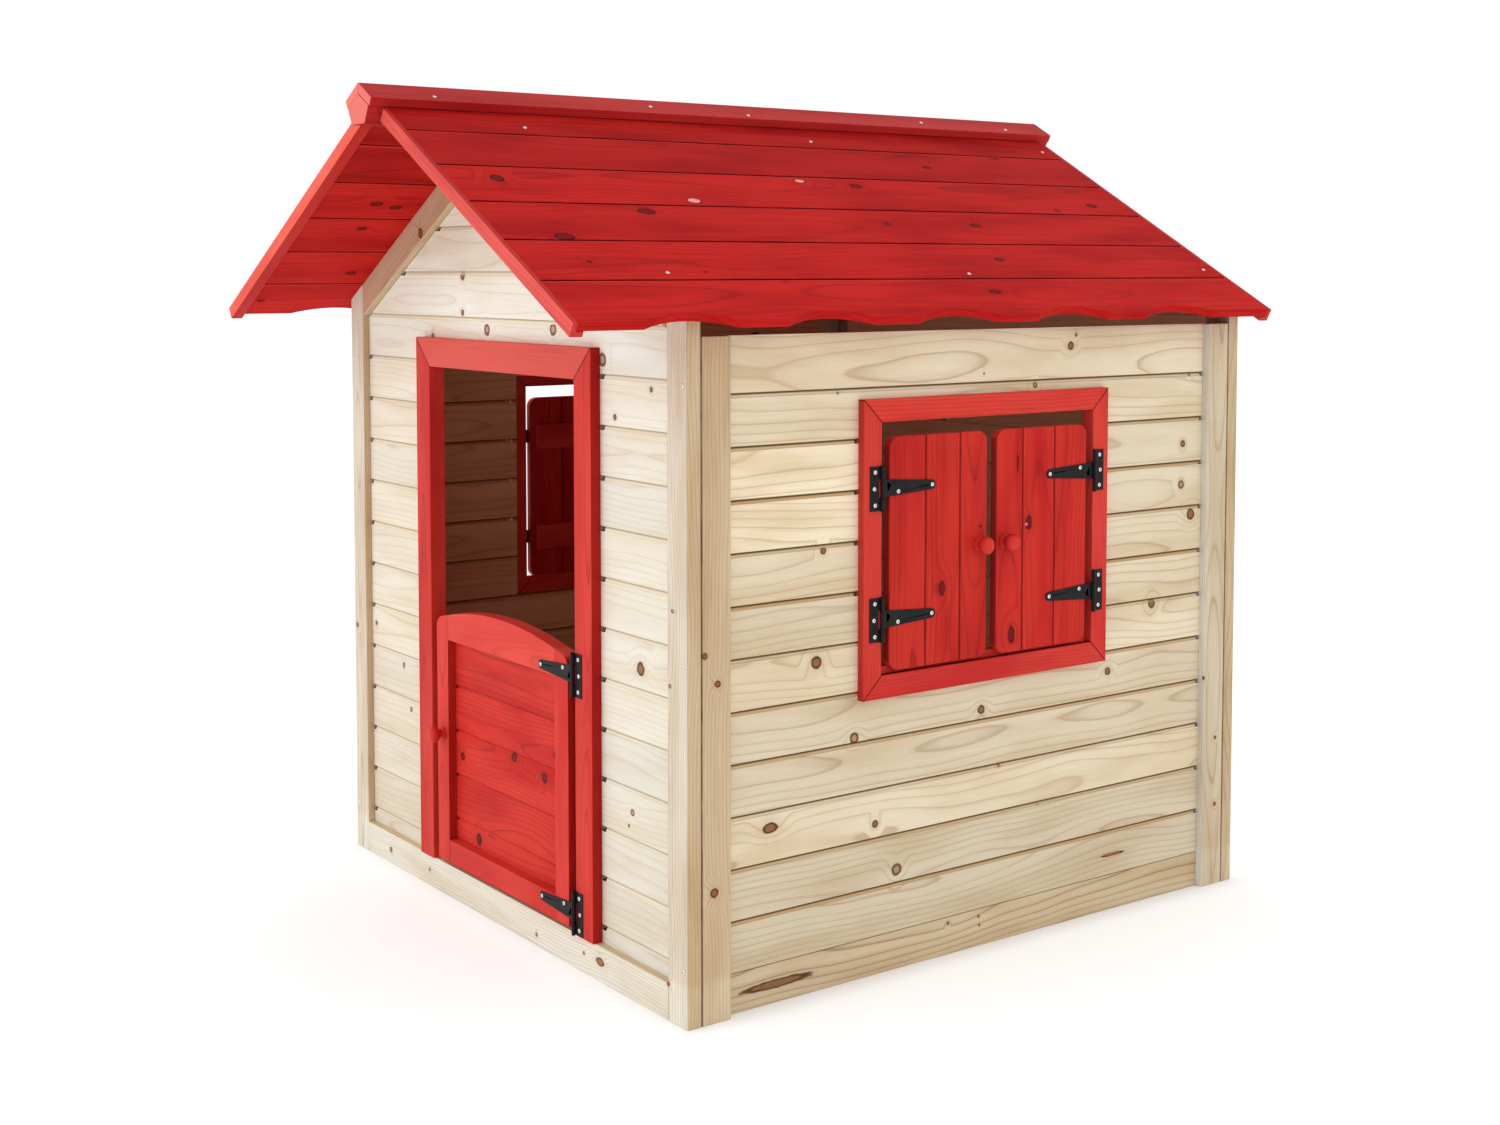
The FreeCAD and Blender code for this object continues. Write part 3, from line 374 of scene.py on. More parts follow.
    # knots: a stained halo, a dark rim, a ringed core
    halo = T.smooth(k, 3.2, 1.0)
    colour = T.mix(T.math("MULTIPLY", halo, 0.16), colour, rim)
    core = T.smooth(k, 1.08, 0.92)
    core_line = T.math("FRACT", T.math("MULTIPLY", k, 3.4))
    core_col = T.mix(T.math("MULTIPLY_ADD", T.smooth(core_line, 0.3, 0.9), 0.35, 0.18), rim, knot)
    colour = T.mix(core, colour, core_col)
    rim_mask = T.math("MULTIPLY", T.smooth(k, 1.30, 1.04), T.smooth(k, 0.62, 0.90))
    colour = T.mix(T.math("MULTIPLY", rim_mask, 0.92), colour, knot)
    if ringed is not None:
        rk = T.math("MULTIPLY", ringed, T.math("MULTIPLY_ADD", wob, 0.5, 0.75))
        colour = T.mix(T.math("MULTIPLY", T.smooth(rk, 1.1, 0.9), 0.8), colour, rim)
        edge = T.smooth(T.math("ABSOLUTE", T.math("SUBTRACT", rk, 1.0)), 0.42, 0.14)
        colour = T.mix(T.math("MULTIPLY", edge, 0.85), colour, knot)
    if pale is not None:
        pk = T.math("MULTIPLY", pale, T.math("MULTIPLY_ADD", wob, 0.6, 0.7))
        colour = T.mix(T.smooth(pk, 1.5, 1.0), colour, knot)
        colour = T.mix(T.smooth(pk, 1.05, 0.85), colour, light)
    ox, oy, oz = T.split(here)
    if joint is not None:
        kind, first, pitch, last, line_col, line_amt, painted_bevel_col, painted_bevel_amt, band_wide, rag = joint
        if kind == "roof":
            run = T.math("MULTIPLY", T.math("ABSOLUTE", ox), COS)
            run = T.math("ADD", run, T.math("MULTIPLY", T.math("SUBTRACT", 1.4057, oz), SIN))
            rel = T.math("DIVIDE", T.math("SUBTRACT", run, first), pitch)
            row = T.math("FLOOR", rel)
            above = T.math("MULTIPLY", T.math("FRACT", rel), pitch)        # down the slope from the joint above
            below = T.math("SUBTRACT", pitch, above)
        else:
            rel = T.math("DIVIDE", T.math("SUBTRACT", oz, first), pitch)
            row = T.math("FLOOR", rel)
            below = T.math("MULTIPLY", T.math("FRACT", rel), pitch)
            above = T.math("SUBTRACT", pitch, below)
        if kind == "roof":
            below = T.math("ADD", below, T.math("GREATER_THAN", row, last - 0.5))
        else:
            above = T.math("ADD", above, T.math("GREATER_THAN", row, last - 0.5))
            below = T.math("ADD", below, T.math("GREATER_THAN", row, last + 0.5))
        seed = T.noise(T.join(T.math("MULTIPLY", row, 3.7), 1.3, 0.0), 1.0, 0.0, 0.5)
        rough_edge = T.noise(T.join(T.math("MULTIPLY", s0, 220.0), row, 0.0), 1.0, 3.0, 0.7)
        slow_edge = T.noise(T.join(T.math("MULTIPLY", s0, 7.0), row, 3.0), 1.0, 2.0, 0.5)
        shift = T.math("MULTIPLY", T.math("SUBTRACT", rough_edge, 0.5), rag)
        shift = T.math("MULTIPLY_ADD", T.math("SUBTRACT", slow_edge, 0.5), rag, shift)
        # painted light and shade on the bevel below each joint, a highlight on some walls and a shade on others, with a
        # thin line at its lower edge
        painted_bevel = T.smooth(T.math("ADD", above, shift), band_wide * 1.12, band_wide * 0.9)
        amt = T.math("MULTIPLY_ADD", T.smooth(seed, 0.35, 0.65), painted_bevel_amt, painted_bevel_amt * 0.4, clamp=True)
        colour = T.mix(T.math("MULTIPLY", painted_bevel, amt), colour, painted_bevel_col)
        thin = T.smooth(T.math("ABSOLUTE", T.math("SUBTRACT", T.math("ADD", above, shift), band_wide)), 0.0012, 0.0)
        colour = T.mix(T.math("MULTIPLY", thin, line_amt * 0.4), colour, line_col)
        # the joint line: the gap between boards, darkened further with painted shadow of the groove
        dark = T.smooth(T.math("ADD", above, shift), 0.0034, 0.0016)
        dark = T.math("MAXIMUM", dark, T.smooth(T.math("ADD", below, shift), 0.0016, 0.0005))
        colour = T.mix(T.math("MULTIPLY", dark, T.math("MULTIPLY_ADD", slow_edge, 0.3, line_amt - 0.15, clamp=True)),
                       colour, line_col)
    if rims:
        e1, half, _ = T.split(T.attr("rim"))
        gap_to = T.math("MULTIPLY", T.math("SUBTRACT", 1.0, T.math("ABSOLUTE", e1)), half)
        dark = T.math("MULTIPLY", T.smooth(gap_to, 0.0015, 0.0003), T.math("GREATER_THAN", half, 0.001))
        colour = T.mix(T.math("MULTIPLY", dark, rims), colour, knot)
    # painted shade and light: faces are picked by the way they turn (flip takes the faces across the axis) and
    # multiplied by a tint for how the light falls on them
    if face is not None:
        axis, tint, amount, flip = face
        n3 = T.split(nrm)["XYZ".index(axis)]
        side_on = T.smooth(T.math("ABSOLUTE", n3), 0.6, 0.85)
        if flip:
            side_on = T.math("SUBTRACT", 1.0, side_on)
        colour = T.mix(T.math("MULTIPLY", side_on, amount), colour, T.mix(1.0, colour, tint, "MULTIPLY"))
    # painted shade: faces within the walls are multiplied by a dark red-brown tint for the shade and the red bounce
    # light within the house
    if interior_shade is not None:
        m = T.smooth(T.math("ABSOLUTE", ox), 0.5515, 0.5505)
        m = T.math("MULTIPLY", m, T.smooth(T.math("ABSOLUTE", T.math("SUBTRACT", oy, 0.099)), 0.5815, 0.5805))
        colour = T.mix(m, colour, T.mix(1.0, colour, interior_shade, "MULTIPLY"))
    # painted light and shade: slow gradients of tone from one part of the wall to another
    for axis, lo, hi, tint in painted_gradients:
        m = T.smooth(T.split(here)["XYZ".index(axis)], lo, hi)
        colour = T.mix(m, colour, T.mix(1.0, colour, tint, "MULTIPLY"))
    # painted light: faces turned downwards are made brighter and pinker for the light bounced up from the floor
    if under is not None:
        m = T.smooth(T.split(nrm)[2], -0.5, -0.8)
        colour = T.mix(m, colour, T.mix(1.0, colour, under, "MULTIPLY"))
    if side_face_shade is not None:
        # painted shade on the side faces of the pieces on the front wall
        m = T.math("MULTIPLY", T.smooth(T.math("ABSOLUTE", T.split(nrm)[0]), 0.6, 0.85), T.math("LESS_THAN", oy, -0.45))
        m = T.math("MULTIPLY", m, T.math("GREATER_THAN", T.math("MULTIPLY", ox, side_face_shade[1]), side_face_shade[2]))
        colour = T.mix(m, colour, T.mix(1.0, colour, side_face_shade[0], "MULTIPLY"))
    if notch_shade is not None:
        # painted shade on the walls of the small notches
        across, ranges = notch_shade
        m = T.smooth(T.math("ABSOLUTE", T.split(nrm)["XYZ".index(across)]), 0.5, 0.3)
        any_of = 0.0
        for axis, lo, hi in ranges:
            v = T.split(here)["XYZ".index(axis)]
            any_of = T.math("MAXIMUM", T.math("MULTIPLY", T.math("GREATER_THAN", v, lo), T.math("LESS_THAN", v, hi)), any_of)
        colour = T.mix(T.math("MULTIPLY", m, any_of), colour, T.mix(1.0, colour, (0.10, 0.07, 0.05), "MULTIPLY"))
    if rafter_face_shade is not None:
        # painted shade on the faces of the gable rafters
        up = T.math("ADD", T.math("MULTIPLY", T.math("ABSOLUTE", ox), SIN),
                    T.math("MULTIPLY", T.math("SUBTRACT", oz, 1.4057), COS))
        m = T.math("MULTIPLY", T.smooth(up, -0.070, -0.066), T.smooth(T.math("ABSOLUTE", T.split(nrm)[1]), 0.6, 0.85))
        m = T.math("MULTIPLY", m, T.math("GREATER_THAN", T.math("ABSOLUTE", T.split(T.attr("gdir"))[0]), 0.5))
        colour = T.mix(m, colour, T.mix(1.0, colour, rafter_face_shade, "MULTIPLY"))
    # dark lines where two pieces meet: the joint itself, with painted contact shade along it
    for value, half, amount in lines:
        if value == "rafter":
            off = T.math("ADD", T.math("MULTIPLY", T.math("ABSOLUTE", ox), SIN),
                         T.math("MULTIPLY", T.math("SUBTRACT", oz, 1.4057), COS))
            off = T.math("ABSOLUTE", T.math("ADD", off, 0.0662))
            off = T.math("ADD", off, T.smooth(T.math("ABSOLUTE", T.split(nrm)[1]), 0.7, 0.5))
        elif value == "post":
            off = T.math("ABSOLUTE", T.math("SUBTRACT", T.math("ABSOLUTE", ox), 0.5232))
            off = T.math("ADD", off, T.smooth(T.math("ABSOLUTE", T.split(nrm)[1]), 0.7, 0.5))
        else:
            off = T.math("ABSOLUTE", T.math("SUBTRACT", T.math("ABSOLUTE", T.math("SUBTRACT", oy, 0.099)), value))
        wave = T.math("MULTIPLY_ADD", T.noise(here, 30.0, 2.0, 0.6), 1.0, 0.25, clamp=True)
        colour = T.mix(T.math("MULTIPLY", T.math("MULTIPLY", T.smooth(off, half, half * 0.45), wave), amount), colour,
                       srgb(96, 66, 36))
    if seams:
        # the mitre lines of the door frame and the window frames
        ym = T.math("SUBTRACT", T.math("ABSOLUTE", T.math("SUBTRACT", oy, 0.097)), 0.2346)
        zm = T.math("SUBTRACT", T.math("ABSOLUTE", T.math("SUBTRACT", oz, 0.68515)), 0.20065)
        off = T.math("ABSOLUTE", T.math("SUBTRACT", ym, zm))
        m1 = T.math("MULTIPLY", T.smooth(off, 0.0026, 0.0012), T.math("GREATER_THAN", ym, -0.0008))
        m1 = T.math("MULTIPLY", m1, T.math("GREATER_THAN", oy, -0.30))
        xm = T.math("SUBTRACT", T.math("ABSOLUTE", T.math("SUBTRACT", ox, 0.01405)), 0.25065)
        zd = T.math("SUBTRACT", oz, 0.951)
        m2 = T.math("MULTIPLY", T.smooth(T.math("ABSOLUTE", T.math("SUBTRACT", xm, zd)), 0.0026, 0.0012),
                    T.math("GREATER_THAN", zd, -0.0010))
        m2 = T.math("MULTIPLY", m2, T.math("LESS_THAN", oy, -0.45))
        colour = T.mix(T.math("MULTIPLY", T.math("MAXIMUM", m1, m2), 0.62), colour, knot)
    colour = T.mix(1.0, colour, grade, "MULTIPLY")
    T.put(T.bsdf.inputs["Base Color"], colour)
    rg = T.math("MULTIPLY_ADD", T.math("SUBTRACT", fib, 0.5), 0.22, rough)
    rg = T.math("MULTIPLY_ADD", line, -0.06, rg)
    T.put(T.bsdf.inputs["Roughness"], rg)
    T.bsdf.inputs["Specular IOR Level"].default_value = specular
    height = T.math("ADD", T.math("MULTIPLY", line, 0.5), T.math("MULTIPLY", fib, 0.8))
    height = T.math("MULTIPLY_ADD", core, -0.6, height)
    b = T.new("ShaderNodeBump")
    b.inputs["Strength"].default_value = bump
    b.inputs["Distance"].default_value = 0.0006
    T.put(b.inputs["Height"], height)
    T.put(T.bsdf.inputs["Normal"], b.outputs[0])
    return T.mat


ROW = {
    # knots of the pieces that face the photograph: centre in metres, radius, shape
    "side": [((0.562, 0.290, 0.995), 0.0062, ""), ((0.562, 0.303, 1.013), 0.0026, ""), ((0.562, 0.091, 0.954), 0.0018, ""),
             ((0.562, 0.207, 0.931), 0.0044, "ring"), ((0.562, -0.215, 0.934), 0.0020, ""),
             ((0.562, 0.589, 0.936), 0.0025, ""), ((0.562, 0.574, 0.813), 0.0055, ""), ((0.562, 0.571, 0.740), 0.0062, "ring"),
             ((0.562, 0.597, 0.685), 0.0090, ""), ((0.562, 0.498, 0.533), 0.0078, ""), ((0.562, -0.243, 0.691), 0.0050, ""),
             ((0.562, -0.256, 0.518), 0.0086, ""), ((0.562, -0.180, 0.389), 0.0072, "ring"), ((0.562, 0.090, 0.398), 0.0068, ""),
             ((0.562, 0.388, 0.425), 0.0062, ""), ((0.562, 0.131, 0.299), 0.0030, ""), ((0.562, -0.345, 0.274), 0.0074, "wideY"),
             ((0.562, -0.137, 0.245), 0.0055, ""), ((0.562, -0.092, 0.163), 0.0084, "ring"), ((0.562, 0.221, 0.218), 0.0022, ""),
             ((0.562, 0.405, 0.098), 0.0026, "streakY"), ((0.562, -0.170, 0.880), 0.0020, "")],
    "front": [((-0.140, -0.493, 1.113), 0.0068, ""), ((-0.141, -0.493, 1.049), 0.0048, ""), ((-0.052, -0.493, 1.021), 0.0080, "ring"),
              ((0.172, -0.493, 1.027), 0.0080, "ring"), ((-0.256, -0.493, 1.003), 0.0056, ""), ((0.323, -0.493, 0.984), 0.0088, "ring"),
              ((0.462, -0.493, 0.944), 0.0040, ""), ((0.359, -0.493, 0.896), 0.0044, ""), ((0.430, -0.493, 0.515), 0.0090, ""),
              ((0.406, -0.493, 0.287), 0.0046, "ring"), ((0.395, -0.493, 0.264), 0.0022, ""), ((-0.388, -0.493, 0.384), 0.0046, "ring"),
              ((-0.359, -0.493, 0.305), 0.0040, "ring"), ((-0.505, -0.493, 0.446), 0.0040, ""), ((0.307, -0.493, 0.067), 0.0040, "")],
    "frame": [((-0.513, -0.506, 0.173), 0.0066, ""), ((-0.563, -0.506, 0.435), 0.0042, ""), ((-0.425, -0.506, 0.026), 0.0046, ""),
              ((-0.263, -0.506, 0.029), 0.0030, ""), ((0.128, -0.506, 0.019), 0.0032, ""), ((0.280, -0.506, 0.032), 0.0028, ""),
              ((0.537, -0.506, 0.621), 0.0028, "ring"), ((0.530, -0.506, 0.508), 0.0030, "ring"), ((0.524, -0.506, 0.057), 0.0038, ""),
              ((-0.275, -0.506, 1.189), 0.0078, ""), ((0.575, -0.474, 0.556), 0.0046, ""), ((0.575, -0.451, 0.512), 0.0046, ""),
              ((0.575, -0.457, 0.199), 0.0064, ""), ((0.575, 0.622, 0.385), 0.0042, ""), ((0.575, 0.657, 0.272), 0.0032, ""),
              ((0.575, 0.658, 0.149), 0.0036, "")],
    "door": [((-0.148, -0.496, 0.261), 0.0066, ""), ((0.038, -0.496, 0.298), 0.0076, ""), ((0.141, -0.496, 0.284), 0.0078, ""),
             ((-0.089, -0.496, 0.126), 0.0084, "")],
    "shutter": [((0.576, -0.011, 0.612), 0.0056, "tallZ"), ((0.576, 0.155, 0.804), 0.0022, "lineZ"),
                ((0.576, 0.143, 0.519), 0.0064, "tallZ"), ((0.576, 0.072, 0.706), 0.0024, ""), ((0.576, 0.175, 0.701), 0.0026, "pale")],
    "roof": [((0.252, -0.637, 1.264), 0.0100, ""), ((0.340, -0.421, 1.215), 0.0085, "wideY"), ((0.415, -0.614, 1.173), 0.0090, "wideY"),
             ((0.304, -0.307, 1.235), 0.0082, "pale"), ((0.230, -0.036, 1.276), 0.0066, "pale"), ((0.242, 0.081, 1.270), 0.0074, "wideY"),
             ((0.364, 0.050, 1.202), 0.0056, ""), ((0.364, 0.252, 1.201), 0.0060, "wideY"), ((0.287, 0.622, 1.244), 0.0066, "wideY"),
             ((0.307, 0.511, 1.233), 0.0050, "ring"), ((0.117, 0.527, 1.340), 0.0060, "wideY"), ((0.566, 0.111, 1.088), 0.0062, "wideY"),
             ((0.532, -0.296, 1.107), 0.0040, ""), ((0.472, 0.208, 1.141), 0.0056, "wideY"), ((0.165, 0.312, 1.313), 0.0052, "wideY"),
             ((0.481, -0.612, 1.136), 0.0036, ""), ((0.508, -0.425, 1.120), 0.0028, ""),
             ((-0.267, -0.594, 1.239), 0.0066, "wideY"), ((-0.277, -0.553, 1.234), 0.0060, "wideY"),
             ((-0.343, -0.588, 1.197), 0.0050, "wideY"), ((-0.485, -0.547, 1.117), 0.0056, "wideY"),
             ((-0.577, -0.687, 1.065), 0.0040, "wideY")],
}
# joint line colour of the side wall (the gap, with painted groove shadow) and the painted shade on the bevel below it
SIDE_LINE, SIDE_PAINTED_BEVEL = srgb(104, 74, 42), srgb(190, 156, 108)
# colours of the front boards: the same wood as the side boards, made paler partly for its own tone and partly as
# painted light from the sun on the front wall
PALE_AND_LIT = dict(early=srgb(223, 215, 199), warm=srgb(214, 200, 176), late=srgb(188, 156, 120), end=srgb(206, 184, 156),
            knot=srgb(74, 46, 30), rim=srgb(168, 122, 82))
# painted shade tint for the faces within the house
INTERIOR_SHADE = (1.10, 0.66, 0.47)
# several materials below carry painted shade and light: tints for the faces within the house, for faces by the way they
# turn, for the roof's underside, for the sides of the front-wall pieces, the notch walls and the rafter faces, slow
# gradients, the board bevels and a paler highlight on picked pieces
mats = {}
mats["gable_boards"] = wood("wood_gable", contrast=0.44, ring=0.0085, density=0.28, knot_size=0.8, rough=0.62, tone=0.44,
                            specular=0.12, knots=ROW["front"], clear=("Y", -1.0), interior_shade=INTERIOR_SHADE,
                            joint=("z", 0.086, 0.07955, 99, srgb(150, 118, 76), 0.42, srgb(230, 214, 182), 0.5, 0.0060, 0.0010),
                            painted_gradients=(("X", 0.15, 0.35, (1.01, 1.05, 1.09)), ("Z", 0.93, 1.03, (1.13, 1.22, 1.30)),
                                    ("Z", 1.06, 1.20, (0.95, 0.90, 0.86))),
                            notch_shade=("Y", (("X", -0.535, -0.515), ("X", 0.314, 0.3245))),
                            lines=(("rafter", 0.0022, 0.75), ("post", 0.0020, 0.55)), **PALE_AND_LIT)
# the side boards keep the darker, warmer colours of this wood, partly painted shade for the side wall away from the sun
mats["side_boards"] = wood("wood_side", early=srgb(223, 209, 182), warm=srgb(210, 190, 157), late=srgb(160, 122, 80),
                           end=srgb(198, 174, 140), knot=srgb(74, 45, 28), rim=srgb(162, 112, 70),
                           contrast=0.55, ring=0.0085, density=0.12, knot_size=0.9, rough=0.60, tone=0.44,
                           specular=0.12, knots=ROW["side"], clear=("X", 1.0), interior_shade=INTERIOR_SHADE,
                           joint=("z", 0.0627, 0.07975, 11, SIDE_LINE, 0.85, SIDE_PAINTED_BEVEL, 0.8, 0.0062, 0.0010),
                           notch_shade=("X", (("Y", 0.60, 0.70), ("Y", -0.182, -0.1735))))
mats["frame_wood"] = wood("wood_frame", early=srgb(213, 202, 185), warm=srgb(198, 180, 155), late=srgb(160, 128, 96),
                          end=srgb(204, 178, 142), knot=srgb(84, 50, 32), rim=srgb(172, 116, 80),
                          contrast=0.66, ring=0.0046, spread=0.16, density=0.12, knot_size=0.8, rough=0.60, streak=0.20,
                          specular=0.12, knots=ROW["frame"], face=("Y", (0.88, 0.75, 0.585), 1.0, True), tone=0.08,
                          lines=((0.5786, 0.0026, 0.85),), rafter_face_shade=(0.76, 0.53, 0.42),
                          painted_gradients=(("Z", 0.075, 0.055, (1.08, 1.15, 1.20)), ("Y", 0.45, 0.60, (1.05, 1.18, 1.34)), ("Y", 0.6772, 0.6784, (0.90, 0.80, 0.66)),
                                  ("Z", 1.0, 1.08, (1.12, 1.2, 1.26))))
mats["sill_wood"] = wood("wood_sill", early=srgb(208, 188, 156), warm=srgb(196, 168, 130), late=srgb(134, 96, 60),
                         end=srgb(190, 160, 120), contrast=0.80, ring=0.0070, density=0.20, rough=0.60, specular=0.12,
                         knots=[((0.561, 0.020, 0.052), 0.0026, ""), ((0.561, 0.088, 0.050), 0.0022, ""),
                                ((0.561, 0.090, 0.035), 0.0020, ""), ((0.561, -0.330, 0.030), 0.0060, "streakY")])
RED = dict(knot=srgb(74, 10, 12), rim=srgb(132, 20, 18))
mats["red_frames"] = wood("stain_frames", early=srgb(218, 62, 51), warm=srgb(202, 42, 37), late=srgb(156, 18, 18),
                          end=srgb(226, 96, 80), contrast=0.62, ring=0.0044, spread=0.16, density=0.06, streak=0.18,
                          rough=0.52, specular=0.10, tone=0.07, picked_highlight=srgb(246, 150, 132),
                          face=("Y", (0.89, 0.95, 0.94), 1.0, False), seams=True,
                          side_face_shade=((0.56, 0.28, 0.28), 1.0, 0.29), painted_gradients=(("X", 0.50, 0.54, (0.90, 0.96, 0.94)),), **RED)
mats["red_joinery"] = wood("stain_joinery", early=srgb(217, 63, 52), warm=srgb(199, 43, 36), late=srgb(148, 15, 15),
                           end=srgb(222, 90, 74), contrast=0.55, ring=0.0040, spread=0.16, density=0.04, streak=0.16,
                           rough=0.52, specular=0.10, tone=0.12, picked_highlight=srgb(246, 136, 116),
                           side_face_shade=((0.60, 0.40, 0.40), 1.0, -2.0), painted_gradients=(("Z", 0.32, 0.12, (0.93, 0.90, 0.90)),), **RED)
mats["red_panels"] = wood("stain_panels", early=srgb(206, 52, 39), warm=srgb(184, 28, 24), late=srgb(128, 10, 11),
                          end=srgb(210, 74, 62), contrast=0.65, ring=0.0056, density=0.05, streak=0.22,
                          rough=0.52, specular=0.10, knots=ROW["door"] + ROW["shutter"], light=srgb(235, 120, 110),
                          rims=0.55, face=("X", (0.90, 0.76, 0.74), 1.0, False), tone=0.12,
                          painted_gradients=(("Z", 0.32, 0.12, (0.92, 0.86, 0.86)),), **RED)
mats["red_knobs"] = wood("stain_knobs", early=srgb(200, 44, 34), warm=srgb(180, 30, 25), late=srgb(132, 14, 12),
                         end=srgb(202, 50, 40), contrast=0.6, ring=0.0030, density=0.0, rough=0.42, specular=0.12, **RED)
mats["roof_wood"] = wood("stain_roof", early=srgb(184, 31, 26), warm=srgb(156, 15, 16), late=srgb(120, 8, 12),
                         end=srgb(206, 70, 62), contrast=0.62, ring=0.0085, density=0.42, knot_size=1.1, streak=0.22,
                         rough=0.62, specular=0.03, tone=0.26, knots=ROW["roof"], light=srgb(232, 140, 136), clear=("X", 1.0),
                         joint=("roof", 0.127, 0.1195, 4, srgb(60, 4, 6), 0.95, srgb(200, 52, 45), 0.5, 0.0070, 0.0034),
                         under=(1.14, 1.45, 1.45), **RED)
mats["roof_trim"] = wood("stain_trim", early=srgb(222, 92, 82), warm=srgb(200, 62, 58), late=srgb(166, 34, 36),
                         end=srgb(234, 122, 110), contrast=0.56, ring=0.0050, spread=0.14, density=0.06, streak=0.18,
                         rough=0.54, specular=0.08, face=("Y", (0.66, 0.22, 0.25), 1.0, True), tone=0.20,
                         picked_highlight=srgb(255, 118, 72), **RED)


def black_paint():
    T = Tree("hinge_black")
    here = T.new("ShaderNodeTexCoord").outputs["Object"]
    a = T.noise(here, 900.0, 3.0, 0.6)
    b = T.noise(here, 60.0, 3.0, 0.6)
    T.put(T.bsdf.inputs["Base Color"], T.mix(T.smooth(b, 0.45, 0.75), (0.006, 0.006, 0.006), (0.014, 0.013, 0.013)))
    T.put(T.bsdf.inputs["Roughness"], T.math("MULTIPLY_ADD", b, 0.20, 0.36))
    T.bsdf.inputs["Specular IOR Level"].default_value = 0.16
    n = T.new("ShaderNodeBump")
    n.inputs["Strength"].default_value = 0.25
    n.inputs["Distance"].default_value = 0.0002
    T.put(n.inputs["Height"], a)
    T.put(T.bsdf.inputs["Normal"], n.outputs[0])
    return T.mat


def zinc():
    T = Tree("screw_zinc")
    here = T.new("ShaderNodeTexCoord").outputs["Object"]
    a = T.noise(here, 700.0, 2.0, 0.5)
    T.put(T.bsdf.inputs["Base Color"], T.mix(a, (0.62, 0.62, 0.60), (0.86, 0.86, 0.84)))
    T.put(T.bsdf.inputs["Roughness"], T.math("MULTIPLY_ADD", a, 0.2, 0.25))
    T.bsdf.inputs["Metallic"].default_value = 0.85
    return T.mat


mats["hinge_black"] = black_paint()
mats["screw_zinc"] = zinc()

# ------------------------------------------------------------------ CAD nodes
slot_of = {p["node"]: p["material_slot"] for p in frame["record"]["subparts"]}
BEVEL = {"frame_wood": 0.0016, "sill_wood": 0.0012, "red_frames": 0.0010, "red_joinery": 0.0014, "red_panels": 0.0006,
         "roof_trim": 0.0010, "hinge_black": 0.00035}
screw_nodes = [n for n, s in slot_of.items() if s == "screw_zinc"]
pieces = {}
for n, o in nodes.items():
    slot = slot_of[n]
    if slot == "screw_zinc":
        pieces[n] = pieces_of(o.data)
        continue
    if slot != "hinge_black":
        grain(n)
    o.data.materials.clear()
    o.data.materials.append(mats[slot])
    if slot in BEVEL and not n.endswith("knob"):
        if "custom_normal" in o.data.attributes:
            o.data.attributes.remove(o.data.attributes["custom_normal"])
        o.data.shade_smooth()
        weld = o.modifiers.new("weld", "WELD")
        weld.merge_threshold = 0.00002
        bev = o.modifiers.new("edge", "BEVEL")
        bev.width = BEVEL[slot]
        bev.segments = 2
        bev.limit_method = "ANGLE"
        bev.angle_limit = math.radians(35)
        bev.harden_normals = True
        bev.use_clamp_overlap = True


# ------------------------------------------------------------------ screw heads
def head_mesh(rad, tall, spin):
    """Domed head with a cross recess, around +Z, base at z = 0."""
    verts, faces = [], []
    N = 32
    rings = [(1.0, 0.0, 0), (0.985, 0.35, 0), (0.90, 0.68, 0), (0.74, 0.88, 0), (0.58, 0.97, 0),
             (0.50, 1.0, 1), (0.44, 0.60, 1), (0.30, 0.42, 1)]
    for q, h, star in rings:
        for i in range(N):
            a = 2 * math.pi * i / N
            r = rad * q
            if star:
                lobe = abs(math.cos(2 * (a)))
                r *= 0.42 + 0.58 * lobe ** 3
            verts.append((r * math.cos(a + spin), r * math.sin(a + spin), tall * h))
    for k in range(len(rings) - 1):
        for i in range(N):
            j = (i + 1) % N
            faces.append((k * N + i, k * N + j, (k + 1) * N + j, (k + 1) * N + i))
    verts.append((0, 0, tall * 0.36))
    c = len(verts) - 1
    k = len(rings) - 1
    for i in range(N):
        faces.append((k * N + i, k * N + (i + 1) % N, c))
    faces.append(tuple(reversed(range(N))))
    return verts, faces


def screw_axis(node, c):
    if node == "wall_screws":
        return Vector((0, -1 if c[1] < 0 else 1, 0))
    if node == "roof_screws":
        return Vector((SIN * (1 if c[0] > 0 else -1), 0, COS))
    if node.startswith("door"):
        return Vector((0, -1, 0))
    if node == "hinge_plate_screws" and abs(c[0]) < 0.45:
        return Vector((0, -1, 0))
    return Vector((1 if c[0] > 0 else -1, 0, 0))


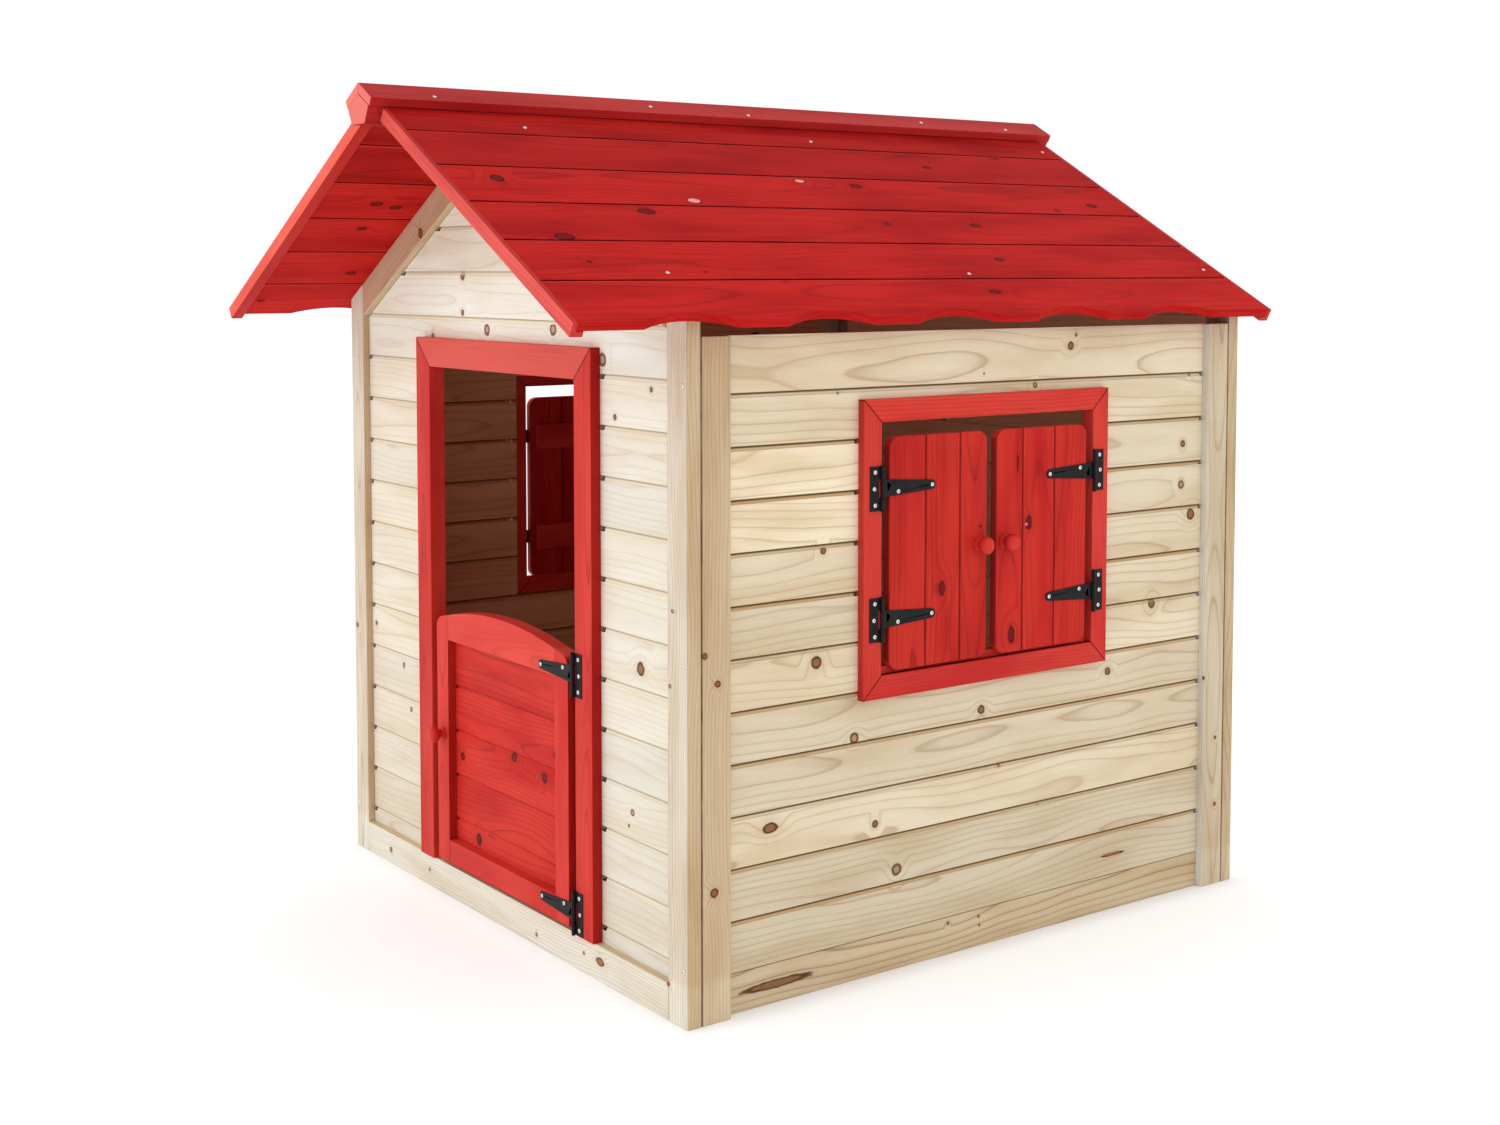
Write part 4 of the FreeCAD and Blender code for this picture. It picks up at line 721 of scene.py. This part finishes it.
# painted shade: the cross recess of each screw head gets a near-black material
dark = Tree("screw_recess_painted_shade")
dn = dark.noise(dark.new("ShaderNodeTexCoord").outputs["Object"], 900.0, 2.0, 0.5)
dark.put(dark.bsdf.inputs["Base Color"], dark.mix(dn, (0.03, 0.03, 0.03), (0.10, 0.10, 0.10)))
dark.bsdf.inputs["Roughness"].default_value = 0.6
for n in screw_nodes:
    co, part = pieces[n]
    verts, faces, mi = [], [], []
    big = n in ("wall_screws", "roof_screws")
    for idx, p in enumerate(sorted(set(part.tolist()), key=lambda q: tuple(np.round(co[part == q].mean(0), 4)))):
        pts = co[part == p]
        c = (pts.min(0) + pts.max(0)) / 2
        ax = screw_axis(n, c)
        along = pts @ np.array(ax)
        tall = 0.0016 if big else 0.0013
        top = along.max()
        base = Vector(c) + ax * (top - tall - float(np.array(ax) @ c))
        rot = ax.to_track_quat("Z", "Y").to_matrix().to_4x4()
        m = Matrix.Translation(base) @ rot
        hv, hf = head_mesh(0.0032 if n == "roof_screws" else 0.0038 if big else 0.0035, tall, 0.7 * idx + 0.3)
        off = len(verts)
        verts += [tuple(m @ Vector(v)) for v in hv]
        faces += [tuple(off + i for i in f) for f in hf]
        # the recess faces take the second material, the painted shade
        mi += [0] * (32 * 5) + [1] * (len(hf) - 32 * 5 - 1) + [0]
    me = bpy.data.meshes.new(n + "_heads")
    me.from_pydata(verts, [], faces)
    me.polygons.foreach_set("material_index", mi)
    me.shade_smooth()
    me.set_sharp_from_angle(angle=math.radians(50))
    ob = bpy.data.objects.new(n + "_heads", me)
    bpy.context.scene.collection.objects.link(ob)
    me.materials.append(mats["screw_zinc"])
    me.materials.append(dark.mat)
    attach(ob, body_of[n])
    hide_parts(n)

# ------------------------------------------------------------------ floor, light, camera
floor_mesh = bpy.data.meshes.new("floor")
R = 30.0
floor_mesh.from_pydata([(-R, -R, 0), (R, -R, 0), (R, R, 0), (-R, R, 0)], [], [(0, 1, 2, 3)])
floor = bpy.data.objects.new("floor", floor_mesh)
bpy.context.scene.collection.objects.link(floor)
F = Tree("floor")
fn = F.noise(F.new("ShaderNodeTexCoord").outputs["Object"], 3.0, 4.0, 0.5)
fx, fy, _ = F.split(F.new("ShaderNodeTexCoord").outputs["Object"])
outside = F.math("MAXIMUM", F.smooth(F.math("ABSOLUTE", fx), 0.54, 0.62),
                 F.smooth(F.math("ABSOLUTE", F.math("SUBTRACT", fy, 0.099)), 0.57, 0.65))
F.put(F.bsdf.inputs["Base Color"], F.mix(outside, (0.90, 0.90, 0.90), F.mix(fn, (0.60, 0.60, 0.60), (0.63, 0.63, 0.63))))
F.bsdf.inputs["Roughness"].default_value = 0.8
F.bsdf.inputs["Specular IOR Level"].default_value = 0.1
F.bsdf.inputs["Emission Color"].default_value = (1.0, 1.0, 1.0, 1.0)
F.put(F.bsdf.inputs["Emission Strength"], F.math("MULTIPLY", outside, 0.46))
floor_mesh.materials.append(F.mat)

world = bpy.data.worlds.new("studio")
world.use_nodes = True
bg = world.node_tree.nodes["Background"]
bg.inputs[0].default_value = (1.0, 1.0, 1.0, 1.0)
bg.inputs[1].default_value = 1.0
bpy.context.scene.world = world

sun = bpy.data.lights.new("key", "SUN")
sun.energy = 0.5
sun.angle = math.radians(25)
so = bpy.data.objects.new("key", sun)
so.rotation_euler = Vector((-0.30, -1.0, 0.75)).to_track_quat("Z", "Y").to_euler()
bpy.context.scene.collection.objects.link(so)
fill = bpy.data.lights.new("fill", "AREA")
fill.energy = 9
fill.size = 3.0
fo = bpy.data.objects.new("fill", fill)
fo.location = (4.2, 0.6, 2.4)
fo.rotation_euler = (Vector(fo.location) - Vector((0.3, 0.1, 0.6))).to_track_quat("Z", "Y").to_euler()
bpy.context.scene.collection.objects.link(fo)

low = bpy.data.lights.new("low", "AREA")
low.energy = 12
low.size = 2.6
lo_ = bpy.data.objects.new("low", low)
lo_.location = (-0.9, -4.2, 0.9)
lo_.rotation_euler = (Vector(lo_.location) - Vector((0.0, -0.5, 1.1))).to_track_quat("Z", "Y").to_euler()
bpy.context.scene.collection.objects.link(lo_)
for lamp in (fo, lo_):
    lamp.visible_camera = False

bpy.context.scene.view_settings.view_transform = "Standard"

cam = bpy.data.cameras.new("camera")
cam.lens = 46.16
cam.sensor_width = 36.0
cam.shift_y = -0.12
cam.clip_start, cam.clip_end = 0.05, 100
co_ = bpy.data.objects.new("camera", cam)
co_.location = (2.8773, -2.0671, 1.1246)
co_.rotation_euler = (math.pi / 2 - 0.0589, 0.0, 0.9418)
bpy.context.scene.collection.objects.link(co_)
bpy.context.scene.camera = co_
